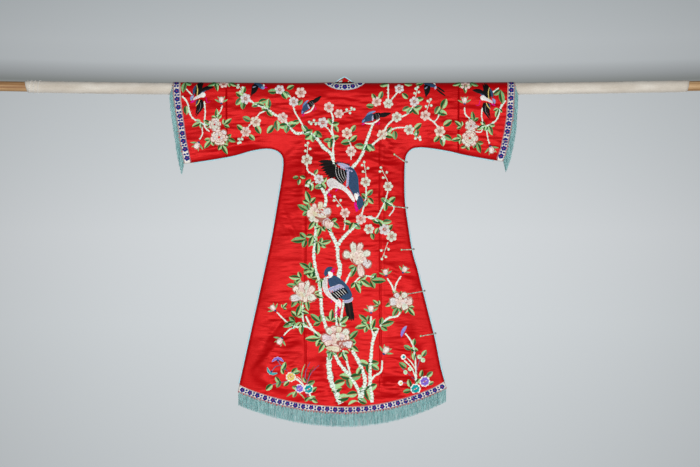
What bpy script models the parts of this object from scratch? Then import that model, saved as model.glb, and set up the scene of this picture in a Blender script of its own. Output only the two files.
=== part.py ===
"""A theatrical robe hung flat on a cotton-wrapped wooden pole.

The pole runs along X through both sleeves and the middle of its axis is the origin. The robe's
back faces -Y and its front faces +Y. Each cloth panel is cut from a flat pattern of x, across,
and v, its height: v is 0 level with the pole's axis, negative below it, and positive along the
quarter turn over the top of the pole. One function lays a pattern point in its place.
Sizes are in metres.
"""
import math

import bmesh
import bpy
from mathutils import Vector
from mathutils.geometry import delaunay_2d_cdt

# Pole and its cotton wrap
POLE_RADIUS = 0.020
POLE_ENDS = (-1.45, 1.51)
POLE_SAG = 0.014
SAG_HALF_SPAN = 1.40
POLE_STATION = 0.15
POLE_SQUARE = 0.03
WRAP_RADIUS = 0.024
WRAP_WALL = 0.0032
WRAP_ENDS = (-1.270, 1.385)
YARN_RADIUS = 0.0012
YARN_TURNS = 3.5
YARN_PITCH = 0.017
ROUND_SIDES = 16

# Cloth
GAP = 0.0003
CLOTH = 0.0016
RIBBON_WALL = 0.0010
FOLD_RADIUS = 0.0275
FOLD_SINK = 0.0018
FOLD_GAP = 0.00035
FOLD_TOP = FOLD_RADIUS * math.pi / 2
LOW_DEPTH = 0.014
POLE_REACH = 0.15
SEAM_HALF = 0.00095
EDGE_ROUND = 0.090
LAYER = 0.0026
GRID = 0.058
SEAM_LINES = (0.012, 0.042)
SEAM_CLEAR = 0.008
HANDS = ((-1, "left"), (1, "right"))

# Cut of the robe
SLEEVE_SEAM = {-1: -0.464, 1: 0.460}
HEM_LOW = (0.008, -1.2924)
HEM_RISE = {-1: 0.0854, 1: 0.0996}
HEM_HALF = {-1: 0.428, 1: 0.4056}
HEM_RIBBON = 0.026
CUFF_RIBBON = 0.028
NECK_X = 0.007
NECK_HALF = 0.043
NECK_DROP = 0.0140
NECK_RIBBON_HALF = 0.083
NECK_RIBBON_DROP = 0.0425
NECK_REACH = 0.11
UNDERLAP = 0.050
UNDERLAP_END = -1.10
UNDERLAP_STEP = 0.09
UNDERLAP_TOP = -0.38

# Trim
PIPING_RADIUS = 0.0015
PIPING_OUT = 0.0032
PIPING_OUT_FREE = 0.0022
PIPING_CLEAR = 0.006
CORD_RADIUS = 0.0016
BUTTON_RADIUS = 0.0040
BUTTON_OUT = 0.0105
BUTTON_SEAT = 1.3 * GAP
CORD_LAY = CLOTH / 2 + 1.6 * GAP + CORD_RADIUS
FRINGE_BAND = 0.0035
FRINGE_THICK = 0.0018
FRINGE_TAPER = 0.6
HEM_STRAND = {"pitch": 0.0121, "width": 0.0062, "length": 0.052}
CUFF_STRAND = {"pitch": 0.0112, "width": 0.0021, "length": 0.046, "lean": 0.26,
               "start": 0.006, "stop": 0.016}

# Seam from cuff to underarm to hem, one row a bend: x, v
SEAM_TABLE = {
    -1: ((-0.633, -0.297), (-0.453, -0.268), (-0.368, -0.245), (-0.310, -0.236),
         (-0.270, -0.242), (-0.244, -0.264), (-0.238, -0.298), (-0.244, -0.354),
         (-0.260, -0.450), (-0.280, -0.570), (-0.300, -0.666), (-0.332, -0.810),
         (-0.364, -0.954), (-0.396, -1.098), (-0.420, -1.207)),
    1: ((0.638, -0.288), (0.497, -0.263), (0.424, -0.246), (0.350, -0.234), (0.303, -0.231),
        (0.274, -0.238), (0.254, -0.260), (0.247, -0.294), (0.245, -0.360), (0.247, -0.450),
        (0.260, -0.546), (0.277, -0.650), (0.297, -0.720), (0.318, -0.805), (0.344, -0.906),
        (0.368, -1.002), (0.391, -1.115), (0.4136, -1.1928)),
}
UNDERARM_V = -0.262
SIDE_TOP_V = -0.25
SIDE_REACH = 0.43
LOW_SEAM_V = -1.17
SEAM_STEPS = 3
SEAM_SPACING = 0.045

# Open edge of each cuff from the fold to the sleeve's bottom: x, v
CUFF_TABLE = {
    -1: ((-0.679, FOLD_TOP), (-0.673, -0.049), (-0.661, -0.130), (-0.650, -0.210),
         (-0.633, -0.297)),
    1: ((0.686, FOLD_TOP), (0.6816, -0.049), (0.6776, -0.116), (0.6684, -0.175),
        (0.6548, -0.237), (0.638, -0.288)),
}

# The overlap's free corner standing up at the neck, then its curved edge to the underarm: x, v
CORNER_TABLE = ((-0.0445, 0.0050), (-0.0400, 0.0220), (-0.0210, 0.0390), (-0.0040, 0.0500),
                (0.0056, 0.0550), (0.0160, 0.0490), (0.0330, 0.0370), (0.0490, 0.0240),
                (0.0530, 0.0060))
OVERLAP_TABLE = ((0.0530, 0.0060), (0.0660, -0.0300), (0.1050, -0.0880), (0.1600, -0.1400),
                 (0.2100, -0.1880), (0.2400, -0.2300), (0.2540, -0.2600))
UNDER_TABLE = ((0.0620, 0.0060), (0.0440, -0.0300), (0.0520, -0.0900), (0.1050, -0.1560),
               (0.1640, -0.2140), (0.1900, -0.2700), (0.1950, -0.3600))
NOTCH_X = -0.0475
NOTCH_LEAN = 0.33
NOTCH_TOP_X = -0.0380
NOTCH_FOOT = (-0.0510, 0.0060)

# Soft folds: x and v of both ends, half width, height outwards
FOLDS = {
    -1: ((-0.152, -0.12, -0.150, -1.26, 0.034, 0.0030),
         (0.148, -0.12, 0.146, -1.26, 0.034, 0.0030),
         (-0.140, -0.90, -0.340, -1.15, 0.045, 0.0050),
         (-0.040, -0.95, -0.090, -1.28, 0.050, -0.0040),
         (0.220, -0.90, 0.310, -1.20, 0.050, 0.0050),
         (0.040, -0.70, 0.050, -1.28, 0.055, -0.0035),
         (-0.220, -0.30, -0.080, -0.46, 0.036, 0.0030),
         (0.230, -0.30, 0.090, -0.44, 0.036, 0.0030)),
    1: ((-0.150, -0.14, -0.150, -1.26, 0.034, 0.0030),
        (0.150, -0.40, 0.146, -1.26, 0.034, 0.0030),
        (-0.120, -0.95, -0.300, -1.18, 0.050, 0.0050),
        (0.010, -0.85, 0.020, -1.28, 0.055, -0.0040),
        (0.190, -0.88, 0.280, -1.20, 0.050, 0.0050),
        (-0.220, -0.30, -0.060, -0.50, 0.036, 0.0030)),
}

# Fastenings down the right side, one row a fastening: v at the edge, and how far its loop
# reaches over the back in x and v
SIDE_FASTENINGS = ((-0.290, -0.040, 0.028), (-0.474, -0.043, 0.006), (-0.640, -0.039, -0.001),
                   (-0.807, -0.056, -0.010), (-0.977, -0.049, -0.008))
FRONT_CORD = (0.040, 0.004)
# Where each cord bends on its way to the ball: past the edge, and height off the middle plane
LOOP_BEND = (0.0042, -0.0040)
KNOT_BEND = (0.0050, 0.0076)
# Fastenings on the overlap's curve: share of the way along it, length of each cord
CURVE_FASTENINGS = ((0.12, 0.034), (0.62, 0.036))
CURVE_BEND = (0.0042, 0.0028)
CURVE_LOOP_START = BUTTON_OUT + 0.003

COLOURS = {
    "satin": ((0.62, 0.010, 0.014), 0.45),
    "ribbon": ((0.60, 0.58, 0.55), 0.60),
    "piping": ((0.45, 0.62, 0.64), 0.50),
    "fringe": ((0.22, 0.45, 0.45), 0.55),
    "cord": ((0.10, 0.09, 0.12), 0.60),
    "button": ((0.08, 0.07, 0.08), 0.35),
    "wood": ((0.52, 0.34, 0.18), 0.60),
    "cotton": ((0.60, 0.56, 0.51), 0.85),
}


def clear_scene():
    for obj in list(bpy.data.objects):
        bpy.data.objects.remove(obj, do_unlink=True)


def paint(obj, kind):
    """Give a piece its own plain material."""
    colour, roughness = COLOURS[kind]
    material = bpy.data.materials.new(obj.name + "_" + kind)
    material.use_nodes = True
    shader = material.node_tree.nodes["Principled BSDF"]
    shader.inputs["Base Color"].default_value = (*colour, 1.0)
    shader.inputs["Roughness"].default_value = roughness
    shader.inputs["Metallic"].default_value = 0.0
    obj.data.materials.clear()
    obj.data.materials.append(material)


def add_object(name, data, kind):
    obj = bpy.data.objects.new(name, data)
    ROBE.objects.link(obj)
    paint(obj, kind)
    return obj


def ease(value):
    """Smooth step from 0 to 1."""
    value = min(1.0, max(0.0, value))
    return value * value * (3 - 2 * value)


# Flat pattern

def smooth_line(points, steps):
    """A smooth curve through the points, with each span cut into a number of steps."""
    line = []
    last = len(points) - 1
    for i in range(last):
        before = Vector(points[max(i - 1, 0)])
        start = Vector(points[i])
        end = Vector(points[i + 1])
        after = Vector(points[min(i + 2, last)])
        for step in range(steps):
            t = step / steps
            line.append(0.5 * (2 * start + (end - before) * t
                               + (2 * before - 5 * start + 4 * end - after) * t * t
                               + (3 * start - before - 3 * end + after) * t ** 3))
    line.append(Vector(points[last]))
    return line


def thin_line(line, spacing):
    """Drop points of a fine line where it is nearly straight and they stand close."""
    kept = [line[0]]
    travelled = 0.0
    for i in range(1, len(line) - 1):
        travelled += (line[i] - line[i - 1]).length
        incoming = (line[i] - kept[-1]).normalized()
        outgoing = (line[i + 1] - line[i]).normalized()
        bend = incoming.angle(outgoing, 0.0)
        if travelled > spacing or (bend > math.radians(11) and travelled > spacing * 0.3):
            kept.append(line[i])
            travelled = 0.0
    kept.append(line[-1])
    return kept


def outward(line, i):
    """Unit vector square to a line, on its right as it runs."""
    before = line[max(i - 1, 0)]
    after = line[min(i + 1, len(line) - 1)]
    along = (after - before).normalized()
    return Vector((along.y, -along.x))


def shifted(line, distance, hand=1):
    """A line moved sideways; hand 1 moves it to its right."""
    return [point + outward(line, i) * distance * hand for i, point in enumerate(line)]


def line_value(table, value, given, wanted):
    """Read a table of points as a broken line: the wanted coordinate at a given one."""
    rows = sorted(table, key=lambda row: row[given])
    if value <= rows[0][given]:
        return rows[0][wanted]
    for low, high in zip(rows, rows[1:]):
        if value <= high[given]:
            share = (value - low[given]) / (high[given] - low[given])
            return low[wanted] + share * (high[wanted] - low[wanted])
    return rows[-1][wanted]


def cuff_x(hand, v):
    return line_value(CUFF_TABLE[hand], v, 1, 0)


def hem_v(x):
    hand = -1 if x < HEM_LOW[0] else 1
    return HEM_LOW[1] + HEM_RISE[hand] * ((x - HEM_LOW[0]) / HEM_HALF[hand]) ** 2


def distance_to(line, x, v):
    """Shortest distance from a pattern point to a line."""
    point = Vector((x, v))
    best = 10.0
    for start, end in zip(line, line[1:]):
        span = end - start
        share = max(0.0, min(1.0, (point - start).dot(span) / span.length_squared))
        best = min(best, (start + span * share - point).length)
    return best


def inside(outline, x, v):
    """Whether a pattern point lies inside a closed outline."""
    result = False
    for a, b in zip(outline, outline[1:] + outline[:1]):
        if (a.y > v) != (b.y > v) and x < (b.x - a.x) * (v - a.y) / (b.y - a.y) + a.x:
            result = not result
    return result


# Place of the cloth

def pole_lift(x):
    """Height of the sagging pole's axis."""
    return POLE_SAG * (x / SAG_HALF_SPAN) ** 2


def fold_centre(x):
    """Height of the line that the cloth's turn over the pole is round."""
    return pole_lift(x) - FOLD_SINK


def fold_height(x, v, side):
    """How far the soft folds push the cloth outwards."""
    height = 0.0
    for x0, v0, x1, v1, width, rise in FOLDS[side]:
        start = Vector((x0, v0))
        span = Vector((x1, v1)) - start
        share = (Vector((x, v)) - start).dot(span) / span.length_squared
        across = (start + span * share - Vector((x, v))).length
        ends = ease(min(share, 1 - share) * 4 + 0.2)
        height += rise * math.exp(-(across / width) ** 2) * ends
    return height


def half_depth(x, v, side):
    """Distance of the cloth from the robe's middle plane."""
    depth = LOW_DEPTH + (FOLD_RADIUS - LOW_DEPTH) * math.exp(-(v / POLE_REACH) ** 2)
    to_seam = min(distance_to(SEAM[-1], x, v), distance_to(SEAM[1], x, v))
    depth += fold_height(x, v, side) * ease(to_seam / EDGE_ROUND) * ease(-v / POLE_REACH - 0.3)
    inset = 1 - min(to_seam / EDGE_ROUND, 1.0)
    return SEAM_HALF + (depth - SEAM_HALF) * math.sqrt(1 - inset * inset)


def in_corner(x, v):
    """Whether a point of the overlap belongs to its free corner, which stands straight up."""
    return v > 0 and x > NOTCH_X + NOTCH_LEAN * v


def place(x, v, side, overlap=False):
    """Lay a pattern point in its place; side is -1 for the back and 1 for the front."""
    extra = LAYER * ease((x + 0.20) / 0.20) if overlap else 0.0
    if v <= 0:
        settled = max(0.0, 1 + v / POLE_REACH)
        return Vector((x, side * (half_depth(x, v, side) + extra), v + fold_centre(x) * settled))
    if overlap and in_corner(x, v):
        return Vector((x, side * (FOLD_RADIUS + extra), v + fold_centre(x)))
    angle = v / FOLD_RADIUS
    radius = FOLD_RADIUS + extra
    return Vector((x, side * radius * math.cos(angle), fold_centre(x) + radius * math.sin(angle)))


def on_cloth(x, v, side, out, overlap=False):
    """A point at a distance outside the cloth's middle surface."""
    nudge = 0.0008
    here = place(x, v, side, overlap)
    across = place(x + nudge, v, side, overlap) - place(x - nudge, v, side, overlap)
    up = place(x, v + nudge, side, overlap) - place(x, v - nudge, side, overlap)
    normal = across.cross(up).normalized()
    if normal.y * side < 0:
        normal.negate()
    return here + normal * out


# Sheets and walls

def rows_between(low, high):
    """Heights of the pattern's grid rows: four over the pole, wider ones below it."""
    rows = [FOLD_TOP * k / 4 for k in (3, 2, 1)]
    rows += [0.0, -0.034, -0.080, -0.132]
    while rows[-1] > low:
        rows.append(rows[-1] - GRID)
    return [row for row in rows if low < row < high]


def columns_between(low, high):
    first = math.ceil(low / GRID)
    last = math.floor(high / GRID)
    return [GRID * k for k in range(first, last + 1)]


def join_lines(lines):
    """Join lines end to end into one closed outline without repeated points."""
    outline = []
    for line in lines:
        for point in line:
            if not outline or (point - outline[-1]).length > 1e-5:
                outline.append(Vector(point))
    if (outline[0] - outline[-1]).length < 1e-5:
        outline.pop()
    return outline


def cut_sheet(outline, lines):
    """Fill an outline with triangles that keep to its grid and to the given inner lines."""
    points = list(outline)
    edges = [(i, (i + 1) % len(outline)) for i in range(len(outline))]
    for line in lines:
        first = len(points)
        points += line
        edges += [(first + i, first + i + 1) for i in range(len(line) - 1)]
    low = min(point.y for point in outline)
    left = min(point.x for point in outline)
    right = max(point.x for point in outline)
    borders = [outline + outline[:1]] + list(lines)
    for v in rows_between(low, FOLD_TOP):
        clearance = 0.003 if v >= 0 else GRID * 0.36
        xs = columns_between(left, right)
        if v >= 0:
            xs += [x + GRID * k / 4 for x in xs for k in (1, 2, 3)
                   if abs(x + GRID * k / 4) < NECK_REACH]
        for x in xs:
            if not inside(outline, x, v):
                continue
            if min(distance_to(border, x, v) for border in borders) > clearance:
                points.append(Vector((x, v)))
    verts, _, faces, *_ = delaunay_2d_cdt(points, edges, [], 1, 1e-5)
    return [Vector(vert) for vert in verts], [list(face) for face in faces]


def sheet_mesh(name, points, faces, facing):
    """A mesh whose faces point the way that facing(point) gives."""
    mesh = bpy.data.meshes.new(name)
    mesh.from_pydata([tuple(point) for point in points], [], faces)
    shape = bmesh.new()
    shape.from_mesh(mesh)
    loose = [vert for vert in shape.verts if not vert.link_faces]
    bmesh.ops.delete(shape, geom=loose, context="VERTS")
    bmesh.ops.recalc_face_normals(shape, faces=shape.faces)
    shape.normal_update()
    vote = sum(face.normal.dot(facing(face.calc_center_median())) * face.calc_area()
               for face in shape.faces)
    if vote < 0:
        bmesh.ops.reverse_faces(shape, faces=shape.faces)
    shape.to_mesh(mesh)
    shape.free()
    mesh.shade_smooth()
    return mesh


def wall(name, points, faces, facing, thickness, kind):
    """A sheet of cloth with a wall's thickness, half on each side of its points."""
    obj = add_object(name, sheet_mesh(name, points, faces, facing), kind)
    solid = obj.modifiers.new("thickness", "SOLIDIFY")
    solid.thickness = thickness
    solid.offset = 0.0
    solid.use_even_offset = True
    return obj


def point_normals(points, faces, facing):
    """Outward vectors at a sheet's points, longer at a bend so that a wall stays even."""
    mesh = bpy.data.meshes.new("normals")
    mesh.from_pydata([tuple(point) for point in points], [], faces)
    shape = bmesh.new()
    shape.from_mesh(mesh)
    bmesh.ops.recalc_face_normals(shape, faces=shape.faces)
    shape.normal_update()
    vote = sum(face.normal.dot(facing(face.calc_center_median())) * face.calc_area()
               for face in shape.faces)
    hand = 1 if vote > 0 else -1
    shape.verts.ensure_lookup_table()
    normals = [vert.normal * vert.calc_shell_factor() * hand for vert in shape.verts]
    shape.free()
    bpy.data.meshes.remove(mesh)
    return normals


def facing_side(side):
    return lambda point: Vector((0, side, 0.2))


def facing_tube(point):
    """Away from the line just below the pole, which every sleeve's wall goes round."""
    return Vector((0, point.y, point.z + 0.06))


def trim_on(name, points, faces, facing, keep, thickness, kind):
    """A ribbon over the faces that keep(i) picks, made from the cloth's points moved out."""
    normals = point_normals(points, faces, facing)
    out = CLOTH / 2 + 1.3 * GAP + thickness / 2
    moved = [point + normal * out for point, normal in zip(points, normals)]
    picked = [face for i, face in enumerate(faces) if keep(i)]
    return wall(name, moved, picked, facing, thickness, kind)


def tube(name, route, radius, kind, resolution=1):
    """A cord, piping or pole: a curve of straight spans with closed ends."""
    data = bpy.data.curves.new(name, "CURVE")
    data.dimensions = "3D"
    data.bevel_depth = radius
    data.bevel_resolution = resolution
    data.render_resolution_u = 0
    data.use_fill_caps = True
    spline = data.splines.new("POLY")
    spline.points.add(len(route) - 1)
    for spline_point, point in zip(spline.points, route):
        spline_point.co = (*point, 1.0)
    return add_object(name, data, kind)


# Outlines of the panels

def fold_line(start, end, extra=()):
    """Points along the top fold from one x to another."""
    low, high = sorted((start, end))
    xs = sorted({low, high, *extra, *columns_between(low + 0.01, high - 0.01)})
    xs = [x for i, x in enumerate(xs) if i == 0 or x - xs[i - 1] > 0.012 or x in (high, *extra)]
    if start > end:
        xs.reverse()
    return [Vector((x, FOLD_TOP - FOLD_GAP)) for x in xs]


def sleeve_line(hand, downwards):
    """The seam to the sleeve's end piece, from the fold to the sleeve's bottom."""
    x = SLEEVE_SEAM[hand]
    bottom = sleeve_bottom(hand, x)
    line = [Vector((x, v)) for v in rows_between(bottom + 0.02, FOLD_TOP)]
    line.append(Vector((x, bottom)))
    return line if downwards else line[::-1]


def sleeve_bottom(hand, x):
    """Height of the sleeve's bottom seam at an x between the underarm and the cuff."""
    for start, end in zip(SEAM[hand], SEAM[hand][1:]):
        if (start.x - x) * (end.x - x) <= 0:
            share = (x - start.x) / (end.x - start.x)
            return start.y + share * (end.y - start.y)
    return SEAM[hand][0].y


def body_seam(hand):
    """The seam from the sleeve's end piece to the hem."""
    x = SLEEVE_SEAM[hand]
    corner = Vector((x, sleeve_bottom(hand, x)))
    rest = [point for point in SEAM[hand] if abs(point.x) < abs(x) - 0.012]
    return [corner] + rest


def hem_line(start, end, rise=0.0):
    low, high = sorted((start, end))
    xs = [low] + columns_between(low + 0.02, high - 0.02) + [high]
    if start > end:
        xs.reverse()
    return [Vector((x, hem_v(x) + rise)) for x in xs]


def side_x(hand, v):
    """Where the side seam is at a height below the underarm."""
    rows = [point for point in SEAM[hand] if point.y < SIDE_TOP_V and abs(point.x) < SIDE_REACH]
    return line_value(rows, v, 1, 0)


def neck_curve(half, drop, count):
    """Half an oval hanging from the top fold, from left to right."""
    turns = [math.pi * k / count for k in range(count + 1)]
    return [Vector((NECK_X - half * math.cos(turn), FOLD_TOP - FOLD_GAP - drop * math.sin(turn)))
            for turn in turns]


def neck_side(top_x, foot):
    """A panel's edge beside the neck, from the fold down to its foot, with a point a grid row."""
    line = []
    for k in (3, 2, 1):
        v = FOLD_TOP * k / 4
        share = (FOLD_TOP - v) / (FOLD_TOP - foot[1])
        line.append(Vector((top_x + (foot[0] - top_x) * share, v)))
    return line + [Vector(foot)]


def seam_lines(hand, seam):
    """Lines inside a panel, side by side with a closed seam, that shape its rounded edge."""
    lines = []
    for distance in SEAM_LINES:
        line = shifted(seam, distance, hand)
        lines.append(thin_line(line[1:-1], SEAM_SPACING))
    return lines


def clipped(lines, outline, clearance):
    """Keep the stretches of lines that lie well inside an outline."""
    border = outline + outline[:1]
    result = []
    for line in lines:
        run = []
        for point in line:
            if inside(outline, *point) and distance_to(border, *point) > clearance:
                run.append(point)
            elif len(run) > 1:
                result.append(run)
                run = []
            else:
                run = []
        if len(run) > 1:
            result.append(run)
    return result


def ribbon_edge():
    """Upper edge of the hem's ribbon, run a little past both side seams."""
    past = 0.004
    return hem_line(side_x(-1, LOW_SEAM_V) - past, side_x(1, LOW_SEAM_V) + past, HEM_RIBBON)


# Panels

def back_panel():
    neck = neck_curve(NECK_HALF, NECK_DROP, 8)
    ribbon = neck_curve(NECK_RIBBON_HALF, NECK_RIBBON_DROP, 12)
    left = body_seam(-1)
    right = body_seam(1)
    outline = join_lines((
        fold_line(SLEEVE_SEAM[-1], neck[0].x, (ribbon[0].x,)), neck,
        fold_line(neck[-1].x, SLEEVE_SEAM[1], (ribbon[-1].x,)), sleeve_line(1, True), right,
        hem_line(right[-1].x, left[-1].x), left[::-1], sleeve_line(-1, False)))
    lines = clipped(seam_lines(-1, left) + seam_lines(1, right), outline, SEAM_CLEAR)
    verts, faces = cut_sheet(outline, lines + [ribbon_edge(), ribbon])
    points = [place(vert.x, vert.y, -1) for vert in verts]
    wall("back", points, faces, facing_side(-1), CLOTH, "satin")

    def middle(i):
        return sum((verts[k] for k in faces[i]), Vector((0, 0))) / 3

    def in_hem(i):
        return middle(i).y < hem_v(middle(i).x) + HEM_RIBBON

    def in_neck(i):
        across = (middle(i).x - NECK_X) / NECK_RIBBON_HALF
        down = (FOLD_TOP - middle(i).y) / NECK_RIBBON_DROP
        return across * across + down * down < 1

    trim_on("hem_ribbon_back", points, faces, facing_side(-1), in_hem, RIBBON_WALL, "ribbon")
    trim_on("neck_ribbon", points, faces, facing_side(-1), in_neck, RIBBON_WALL, "ribbon")


def overlap_edge():
    """The overlap's free edge: its standing corner, its curve, to the right underarm."""
    corner = smooth_line(CORNER_TABLE, 1)
    curve = smooth_line(OVERLAP_TABLE, 2)
    return corner[:-1] + curve


def right_side(start_v):
    """The right side seam from a height down to the hem."""
    return [point for point in SEAM[1] if point.y < start_v and point.x < -SLEEVE_SEAM[-1] - 0.02]


def overlap_panel():
    left = body_seam(-1)
    side = right_side(UNDERARM_V)
    notch = neck_side(NOTCH_TOP_X, NOTCH_FOOT)
    edge = overlap_edge()
    outline = join_lines((
        fold_line(SLEEVE_SEAM[-1], NOTCH_TOP_X), notch, edge, side,
        hem_line(side[-1].x, left[-1].x), left[::-1], sleeve_line(-1, False)))
    inner = clipped(seam_lines(-1, left) + seam_lines(1, body_seam(1)), outline, SEAM_CLEAR)
    verts, faces = cut_sheet(outline, inner + [ribbon_edge()])
    points = [place(vert.x, vert.y, 1, True) for vert in verts]
    wall("front_overlap", points, faces, facing_side(1), CLOTH, "satin")

    def in_hem(i):
        centre = sum((verts[k] for k in faces[i]), Vector((0, 0))) / 3
        return centre.y < hem_v(centre.x) + HEM_RIBBON

    trim_on("hem_ribbon_front", points, faces, facing_side(1), in_hem, RIBBON_WALL, "ribbon")


def under_panel():
    """Right shoulder, right front sleeve and the narrow flap under the overlap."""
    seam = [point for point in body_seam(1) if point.y > UNDERLAP_END]
    end = Vector((side_x(1, UNDERLAP_END), UNDERLAP_END))
    count = int((UNDERLAP_TOP - UNDERLAP_END) / UNDERLAP_STEP)
    heights = [UNDERLAP_END + k * UNDERLAP_STEP for k in range(count + 1)]
    strip = [Vector((side_x(1, v) - UNDERLAP, v)) for v in heights]
    curve = smooth_line(UNDER_TABLE, 2)[::-1]
    neck_x = NECK_X + NECK_HALF + 0.002
    neck = neck_side(neck_x, UNDER_TABLE[0])[::-1]
    outline = join_lines((
        fold_line(neck_x, SLEEVE_SEAM[1]), sleeve_line(1, True), seam, [end], strip, curve, neck))
    inner = clipped(seam_lines(1, seam + [end]), outline, SEAM_CLEAR)
    verts, faces = cut_sheet(outline, inner)
    points = [place(vert.x, vert.y, 1) for vert in verts]
    wall("front_under", points, faces, facing_side(1), CLOTH, "satin")


def sleeve_ring(hand, x):
    """Pattern points round a sleeve at one x: side and height, from the bottom seam round."""
    bottom = sleeve_bottom(hand, x)
    below = [bottom, bottom + SEAM_LINES[0], bottom + SEAM_LINES[1], bottom * 0.62,
             bottom * 0.40, bottom * 0.18]
    over = [FOLD_TOP * k / 4 for k in range(5)]
    back = [(-1, v) for v in below + over]
    front = [(1, v) for v in (below[1:] + over[:-1])[::-1]]
    return back + front


def sleeve_end(hand, name):
    """The sleeve's end piece: a tube open at the cuff, with its ribbon."""
    seam_x = SLEEVE_SEAM[hand] + hand * GAP * 1.3
    shares = (0.0, 0.34, 0.68, 1.0)
    points = []
    columns = []
    for share in shares + (None,):
        guess = cuff_x(hand, -0.1)
        guess = guess if share is None else seam_x + (guess - seam_x) * share
        ring = sleeve_ring(hand, guess)
        column = []
        for side, v in ring:
            edge = cuff_x(hand, v)
            inner = edge - hand * CUFF_RIBBON
            x = edge if share is None else seam_x + (inner - seam_x) * share
            if v == ring[0][1]:
                v = sleeve_bottom(hand, x)
            spot = place(x, v, side)
            if v == sleeve_bottom(hand, x):
                spot.y = 0.0
            column.append(len(points))
            points.append(spot)
        columns.append(column)
    faces = []
    count = len(columns[0])
    for near, far in zip(columns, columns[1:]):
        for k in range(count):
            j = (k + 1) % count
            faces.append([near[k], near[j], far[j], far[k]])
    wall("sleeve_" + name, points, faces, facing_tube, CLOTH, "satin")
    first = len(faces) - count
    trim_on("cuff_ribbon_" + name, points, faces, facing_tube, lambda i: i >= first,
            RIBBON_WALL, "ribbon")


# Piping in the seams

def seam_piping(hand, name):
    """Piping from the cuff's ribbon along the underarm to the hem's ribbon."""
    route = []
    for i, point in enumerate(SEAM[hand]):
        moved = point - outward(SEAM[hand], i) * PIPING_OUT * hand
        route.append(Vector((moved.x, 0.0, moved.y)))
    cuff_end = cuff_x(hand, SEAM[hand][0].y) - hand * (CUFF_RIBBON + PIPING_CLEAR)
    kept = [point for point in route[1:-1] if abs(point.x) < abs(cuff_end)
            and point.z > hem_v(point.x) + HEM_RIBBON + PIPING_CLEAR]
    start = Vector((cuff_end, 0.0, sleeve_bottom(hand, cuff_end) - PIPING_OUT))
    low = hem_v(side_x(hand, LOW_SEAM_V)) + HEM_RIBBON + PIPING_CLEAR
    end = Vector((side_x(hand, low) + hand * PIPING_OUT, 0.0, low))
    tube("piping_" + name, [start] + kept + [end], PIPING_RADIUS, "piping")


def overlap_piping():
    """Piping along the overlap's free edge, round its corner and down the right side."""
    edge = overlap_edge()
    side = right_side(UNDERARM_V)
    route = []
    for i, point in enumerate(edge[:-1]):
        moved = point + outward(edge, i) * PIPING_OUT_FREE * -1
        route.append(on_cloth(moved.x, moved.y, 1, GAP, True))
    whole = [edge[-1]] + side
    for i, point in enumerate(whole[:-1]):
        reach = PIPING_OUT_FREE if i == 0 else PIPING_OUT
        moved = point + outward(whole, i) * reach * -1
        spot = place(point.x, point.y, 1, True)
        route.append(Vector((moved.x, spot.y + GAP, moved.y)))
    route = [point for point in route
             if point.z > hem_v(point.x) + HEM_RIBBON + PIPING_CLEAR]
    tube("piping_overlap", route, PIPING_RADIUS, "piping")


# Fringe

def fringe(name, roots, thick, up, drop, width):
    """Strands hanging from a narrow strip, as one body.

    roots are the strands' places along the strip's lower edge, thick and up are unit vectors
    through the strip and across it, and drop(i) is strand i's own vector to its tip.
    """
    shape = bmesh.new()
    count = len(roots)

    def beside(i, hand):
        along = roots[min(i + 1, count - 1)] - roots[max(i - 1, 0)]
        return roots[i] + along.normalized() * width / 2 * hand

    def pair(point):
        half = thick * FRINGE_THICK / 2
        return shape.verts.new(point + half), shape.verts.new(point - half)

    left = [pair(beside(i, -1)) for i in range(count)]
    right = [pair(beside(i, 1)) for i in range(count)]
    top = [pair(beside(i, -1) + up * FRINGE_BAND) for i in range(count)]
    top.append(pair(beside(count - 1, 1) + up * FRINGE_BAND))
    for i in range(count):
        (lf, lb), (rf, rb) = left[i], right[i]
        tip_left = shape.verts.new(beside(i, -FRINGE_TAPER) + drop(i))
        tip_right = shape.verts.new(beside(i, FRINGE_TAPER) + drop(i))
        shape.faces.new((lf, tip_left, tip_right, rf))
        shape.faces.new((rb, tip_right, tip_left, lb))
        shape.faces.new((lb, tip_left, lf))
        shape.faces.new((rf, tip_right, rb))
        (tf, tb), (nf, nb) = top[i], top[i + 1]
        shape.faces.new((tf, nf, nb, tb))
        if i < count - 1:
            mf, mb = left[i + 1]
            shape.faces.new((tf, lf, rf, mf, nf))
            shape.faces.new((nb, mb, rb, lb, tb))
            shape.faces.new((rf, rb, mb, mf))
        else:
            shape.faces.new((tf, lf, rf, nf))
            shape.faces.new((nb, rb, lb, tb))
            shape.faces.new((nf, rf, rb, nb))
    shape.faces.new((top[0][1], left[0][1], left[0][0], top[0][0]))
    bmesh.ops.recalc_face_normals(shape, faces=shape.faces)
    mesh = bpy.data.meshes.new(name)
    shape.to_mesh(mesh)
    shape.free()
    add_object(name, mesh, "fringe")


def hem_fringe(side, name):
    """Strands below the hem, each swaying a little its own way."""
    pitch = HEM_STRAND["pitch"]
    low, high = SEAM[-1][-1].x + pitch, SEAM[1][-1].x - pitch
    count = int((high - low) / pitch) + 1
    roots = []
    for i in range(count):
        x = low + i * (high - low) / (count - 1)
        spot = place(x, hem_v(x), side, side == 1)
        roots.append(spot + Vector((0, 0, -2 * GAP - FRINGE_BAND)))

    def drop(i):
        sway = 0.0016 * math.sin(i * 2.1) + 0.0009 * math.sin(i * 0.7)
        shorter = 0.002 * math.sin(i * 1.3)
        return Vector((sway, 0, -HEM_STRAND["length"] + shorter))

    fringe(name, roots, Vector((0, side, 0)), Vector((0, 0, 1)), drop, HEM_STRAND["width"])


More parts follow.
